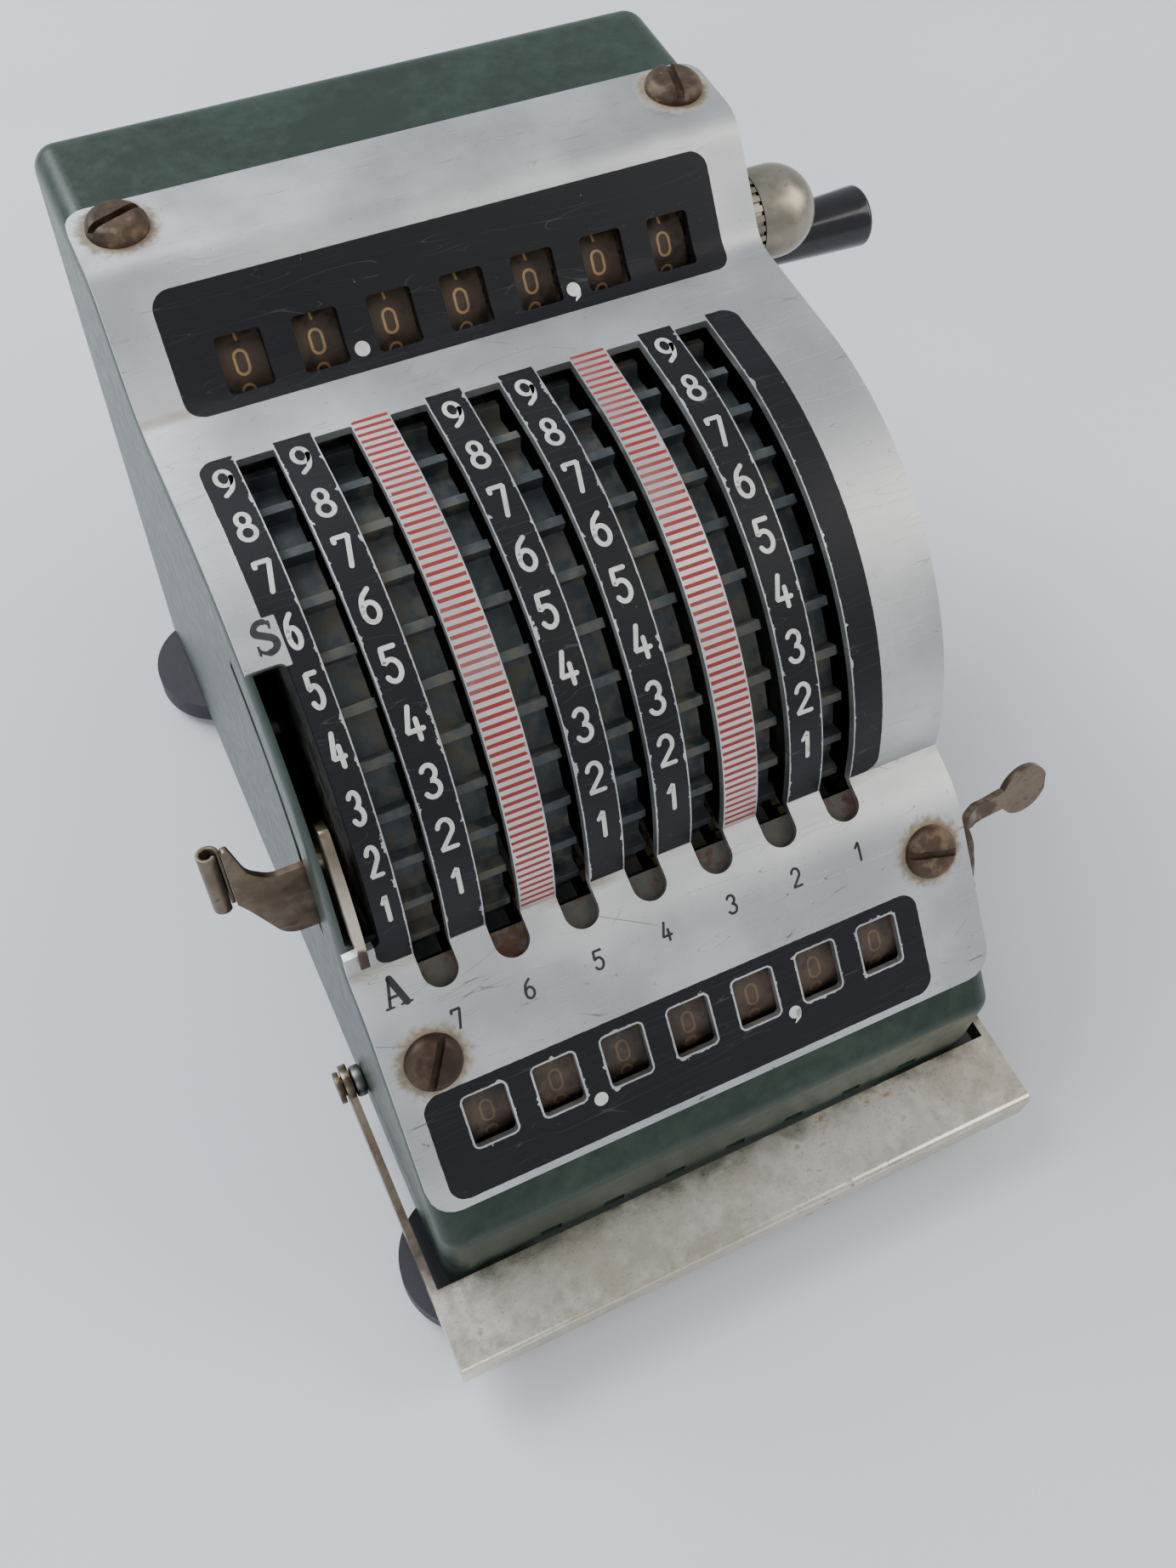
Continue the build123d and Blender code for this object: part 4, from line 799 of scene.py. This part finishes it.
pale_ink = grain("bare engraved aluminium numerals", "#bdbcb6", "#dcdbd5", 0.42, 0.35, 1500, 0.02, "#a59f92",
                 0.2)
dark_ink = grain("black printing ink", "#121315", "#2b2c2e", 0.5, scale=1200, depth=0.01)

# %% Nickel pointer whose tip has turned brown
pointer_metal, tree, shader = start("nickel strip with a tarnished tip")
place = node(tree, "TexCoord", out="Object")
height = node(tree, "Math SUBTRACT", node(tree, "SeparateXYZ", place, out=2), float(origin[2]))
ragged = node(tree, "Math MULTIPLY",
              node(tree, "Math SUBTRACT",
                   node(tree, "TexNoise", {"Vector": place, "Scale": 500, "Detail": 4.0}), 0.5), 0.003)
tip = node(tree, "MapRange SMOOTHSTEP", node(tree, "Math ADD", height, ragged), 0.0128, 0.0118)
upper_dirt = node(tree, "Math MULTIPLY",
                  node(tree, "MapRange SMOOTHSTEP", node(tree, "Math ADD", height, ragged), 0.019, 0.026),
                  0.75)
nickel = node(tree, "Mix RGBA",
              {0: node(tree, "TexNoise", {"Vector": place, "Scale": 800, "Detail": 3.0}),
               6: colour("#b9ac93"), 7: colour("#d9cfba")}, out=2)
nickel = node(tree, "Mix RGBA", {0: upper_dirt, 6: nickel, 7: colour("#5a4c3a")}, out=2)
tree.links.new(node(tree, "Mix RGBA", {0: tip, 6: nickel, 7: colour("#3f2c22")}, out=2),
               shader.inputs["Base Color"])
tree.links.new(node(tree, "MapRange SMOOTHSTEP", tip, 0, 1, 1.0, 0.3), shader.inputs["Metallic"])
tree.links.new(node(tree, "MapRange SMOOTHSTEP",
                    node(tree, "TexNoise", {"Vector": place, "Scale": 300, "Detail": 3.0}), 0.3, 0.7, 0.28,
                    0.42), shader.inputs["Roughness"])
tree.links.new(node(tree, "Bump",
                    {"Strength": 0.4, "Distance": 0.00001,
                     "Height": node(tree, "TexNoise", {"Vector": place, "Scale": 1500, "Detail": 2.0})}),
               shader.inputs["Normal"])

# %% [markdown]
# ## The press bar
# Hands keep the shelf of the press bar bright. Its arms, behind the shelf, have gone brown, and their pins
# with them.

# %% Nickel that turns brown along the arms
hinge_nickel = grain("browned nickel hinge pin", "#5c4f40", "#7d6f5c", 0.42, 1.0, 900, 0.02, "#3d3024", 0.4)
ARM_START, ARM_BLEND = (-0.061, 0.003)  # metres along Y in the frame, where the browning sets in
tree = worn_nickel.node_tree
shader = tree.nodes["Principled BSDF"]
place = node(tree, "TexCoord", out="Object")
ragged = node(tree, "Math MULTIPLY",
              node(tree, "Math SUBTRACT",
                   node(tree, "TexNoise", {"Vector": place, "Scale": 260, "Detail": 4.0}), 0.5), 0.012)
along = node(tree, "Math ADD", node(tree, "SeparateXYZ", place, out=1), ragged)
browned = node(tree, "Math MULTIPLY",
               node(tree, "MapRange SMOOTHSTEP", along, ARM_START - ARM_BLEND, ARM_START + ARM_BLEND), 0.85)
brown = node(tree, "Mix RGBA",
             {0: node(tree, "TexNoise", {"Vector": place, "Scale": 500, "Detail": 4.0}),
              6: colour("#3a2f25"), 7: colour("#6b5a47")}, out=2)
bright = shader.inputs["Base Color"].links[0].from_socket
pitted = node(tree, "MapRange SMOOTHSTEP",
              node(tree, "TexNoise", {"Vector": place, "Scale": 2600, "Detail": 2.0, "Roughness": 0.7}),
              0.62, 0.7, 0.0, 0.55)
bright = node(tree, "Mix RGBA", {0: pitted, 6: bright, 7: colour("#7d7466")}, out=2)
tree.links.new(node(tree, "Mix RGBA", {0: browned, 6: bright, 7: brown}, out=2), shader.inputs["Base Color"])

# %% Give every piece its finish
finishes = {"case_shell": enamel, "base_plate": enamel, "plate_screws": rusty_steel,
            "foot_screws": rusty_steel, "tie_rods": frame_steel, "main_shaft": frame_steel,
            "check_shaft": frame_steel, "left_frame_plate": frame_steel, "right_frame_plate": frame_steel,
            "column_plates": frame_steel, "idler_pins": frame_steel, "detent_comb": frame_steel,
            "stop_bar": rust_bar, "press_bar": worn_nickel, "press_bar_pins": hinge_nickel,
            "press_bar_springs": frame_steel, "serrated_ring": dull_nickel, "result_shaft": frame_steel,
            "crank": dull_nickel, "grip_pin": frame_steel, "crank_grip": black_plastic,
            "mode_lever": brown_steel, "clear_lever": brown_steel, "face_plate": aluminium}
for spot in ("front_left", "rear_left", "front_right", "rear_right"):
    finishes[f"{spot}_foot"] = rubber
for n in column_x:
    finishes[f"setting_wheel_{n}"] = casting
    finishes[f"idler_gear_{n}"] = brass
    finishes[f"check_dial_{n}"] = dial_paint
    finishes[f"result_dial_{n}"] = dial_paint
for name, material in finishes.items():
    for slot in bpy.data.objects[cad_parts[name].name].material_slots:
        slot.link = "OBJECT"
        slot.material = material
for piece, material in ((pale_marks, pale_ink), (dark_marks, dark_ink), (thumb_piece, brown_steel),
                        (scroll_piece, brown_steel), (pointer_piece, pointer_metal),
                        (clear_piece, brown_steel)):
    apply(piece, material)
for marks in dial_marks:
    apply(marks, tan_ink if marks.name.startswith("result") else dull_ink)

# %% Round the sharp folds of pieces whose shape comes straight from the model
for name, width in (("press_bar", 0.45), ("case_shell", 0.2), ("crank", 0.25), ("setting_wheel", 0.12)):
    for node_name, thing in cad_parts.items():
        if node_name == name or node_name.startswith(name + "_"):
            weld = thing.modifiers.new("join corners", "WELD")
            weld.merge_threshold = 0.00001
            soft = thing.modifiers.new("soft edge", "BEVEL")
            soft.width = width / 1000
            soft.segments = 2
            soft.limit_method = "ANGLE"
            soft.angle_limit = math.radians(35)

# %% [markdown]
# ## Floor and light
# A pale matt surface runs out of view, and a broad window-like light comes from the left and behind, with a
# softer fill from the right.

# %% Floor and lamps
floor_points = np.array([(-1.5, -1.5, 0), (1.5, -1.5, 0), (1.5, 1.5, 0), (-1.5, 1.5, 0)])
floor_mesh = bpy.data.meshes.new("floor")
floor_mesh.from_pydata(floor_points.tolist(), [], [(0, 1, 2, 3)])
floor = bpy.data.objects.new("floor", floor_mesh)
bpy.context.scene.collection.objects.link(floor)
floor_paint, tree, shader = start("pale matt table top")
place = node(tree, "TexCoord", out="Object")
tree.links.new(node(tree, "Mix RGBA",
                    {0: node(tree, "TexNoise", {"Vector": place, "Scale": 9, "Detail": 2.0}),
                     6: colour("#cfd2d7"), 7: colour("#dcdee1")}, out=2), shader.inputs["Base Color"])
shader.inputs["Roughness"].default_value = 0.7
tree.links.new(node(tree, "Bump",
                    {"Strength": 0.1, "Distance": 0.00002,
                     "Height": node(tree, "TexNoise", {"Vector": place, "Scale": 700, "Detail": 2.0})}),
               shader.inputs["Normal"])
apply(floor, floor_paint)


def lamp(name, place, aim, size, power, tint="#ffffff"):
    """A square area light in metres, turned towards aim."""
    data = bpy.data.lights.new(name, "AREA")
    data.size = size
    data.energy = power
    data.color = colour(tint)[:3]
    made = bpy.data.objects.new(name, data)
    made.matrix_world = (Matrix.Translation(place)
                         @ (Vector(aim) - Vector(place)).to_track_quat("-Z", "Y").to_matrix().to_4x4())
    bpy.context.scene.collection.objects.link(made)


lamp("window", (-0.45, 0.55, 0.75), (0, 0, 0.05), 0.6, 12.0, "#f4f8ff")
lamp("fill", (0.7, -0.3, 0.6), (0, 0, 0.05), 0.6, 4.0, "#fff8f0")
lamp("front", (-0.5, -0.6, 0.5), (0, 0, 0.05), 0.5, 2.0)
world = bpy.data.worlds.new("soft daylight")
world.use_nodes = True
backdrop = world.node_tree.nodes["Background"]
backdrop.inputs["Color"].default_value = colour("#dfe6ee")
backdrop.inputs["Strength"].default_value = 0.8
bpy.context.scene.world = world

# %% [markdown]
# ## Camera
# A close view from the front left and well above, looking down on the keyboard side.

# %% Camera
camera_place = np.array([-65.78, -110.73, 230.04]) / 1000
camera_aim = np.array([-13.1, -19.9, 60.0]) / 1000
camera_roll = 5.35
camera_data = bpy.data.cameras.new("camera")
camera_data.lens = 34.31
camera_data.sensor_width = 36.0
camera = bpy.data.objects.new("camera", camera_data)
bpy.context.scene.collection.objects.link(camera)
look = Vector(camera_aim - camera_place).to_track_quat("-Z", "Y").to_matrix().to_4x4()
roll = Matrix.Rotation(math.radians(camera_roll), 4, "Z")
camera.matrix_world = Matrix.Translation(camera_place) @ look @ roll
bpy.context.scene.camera = camera
bpy.context.view_layer.update()
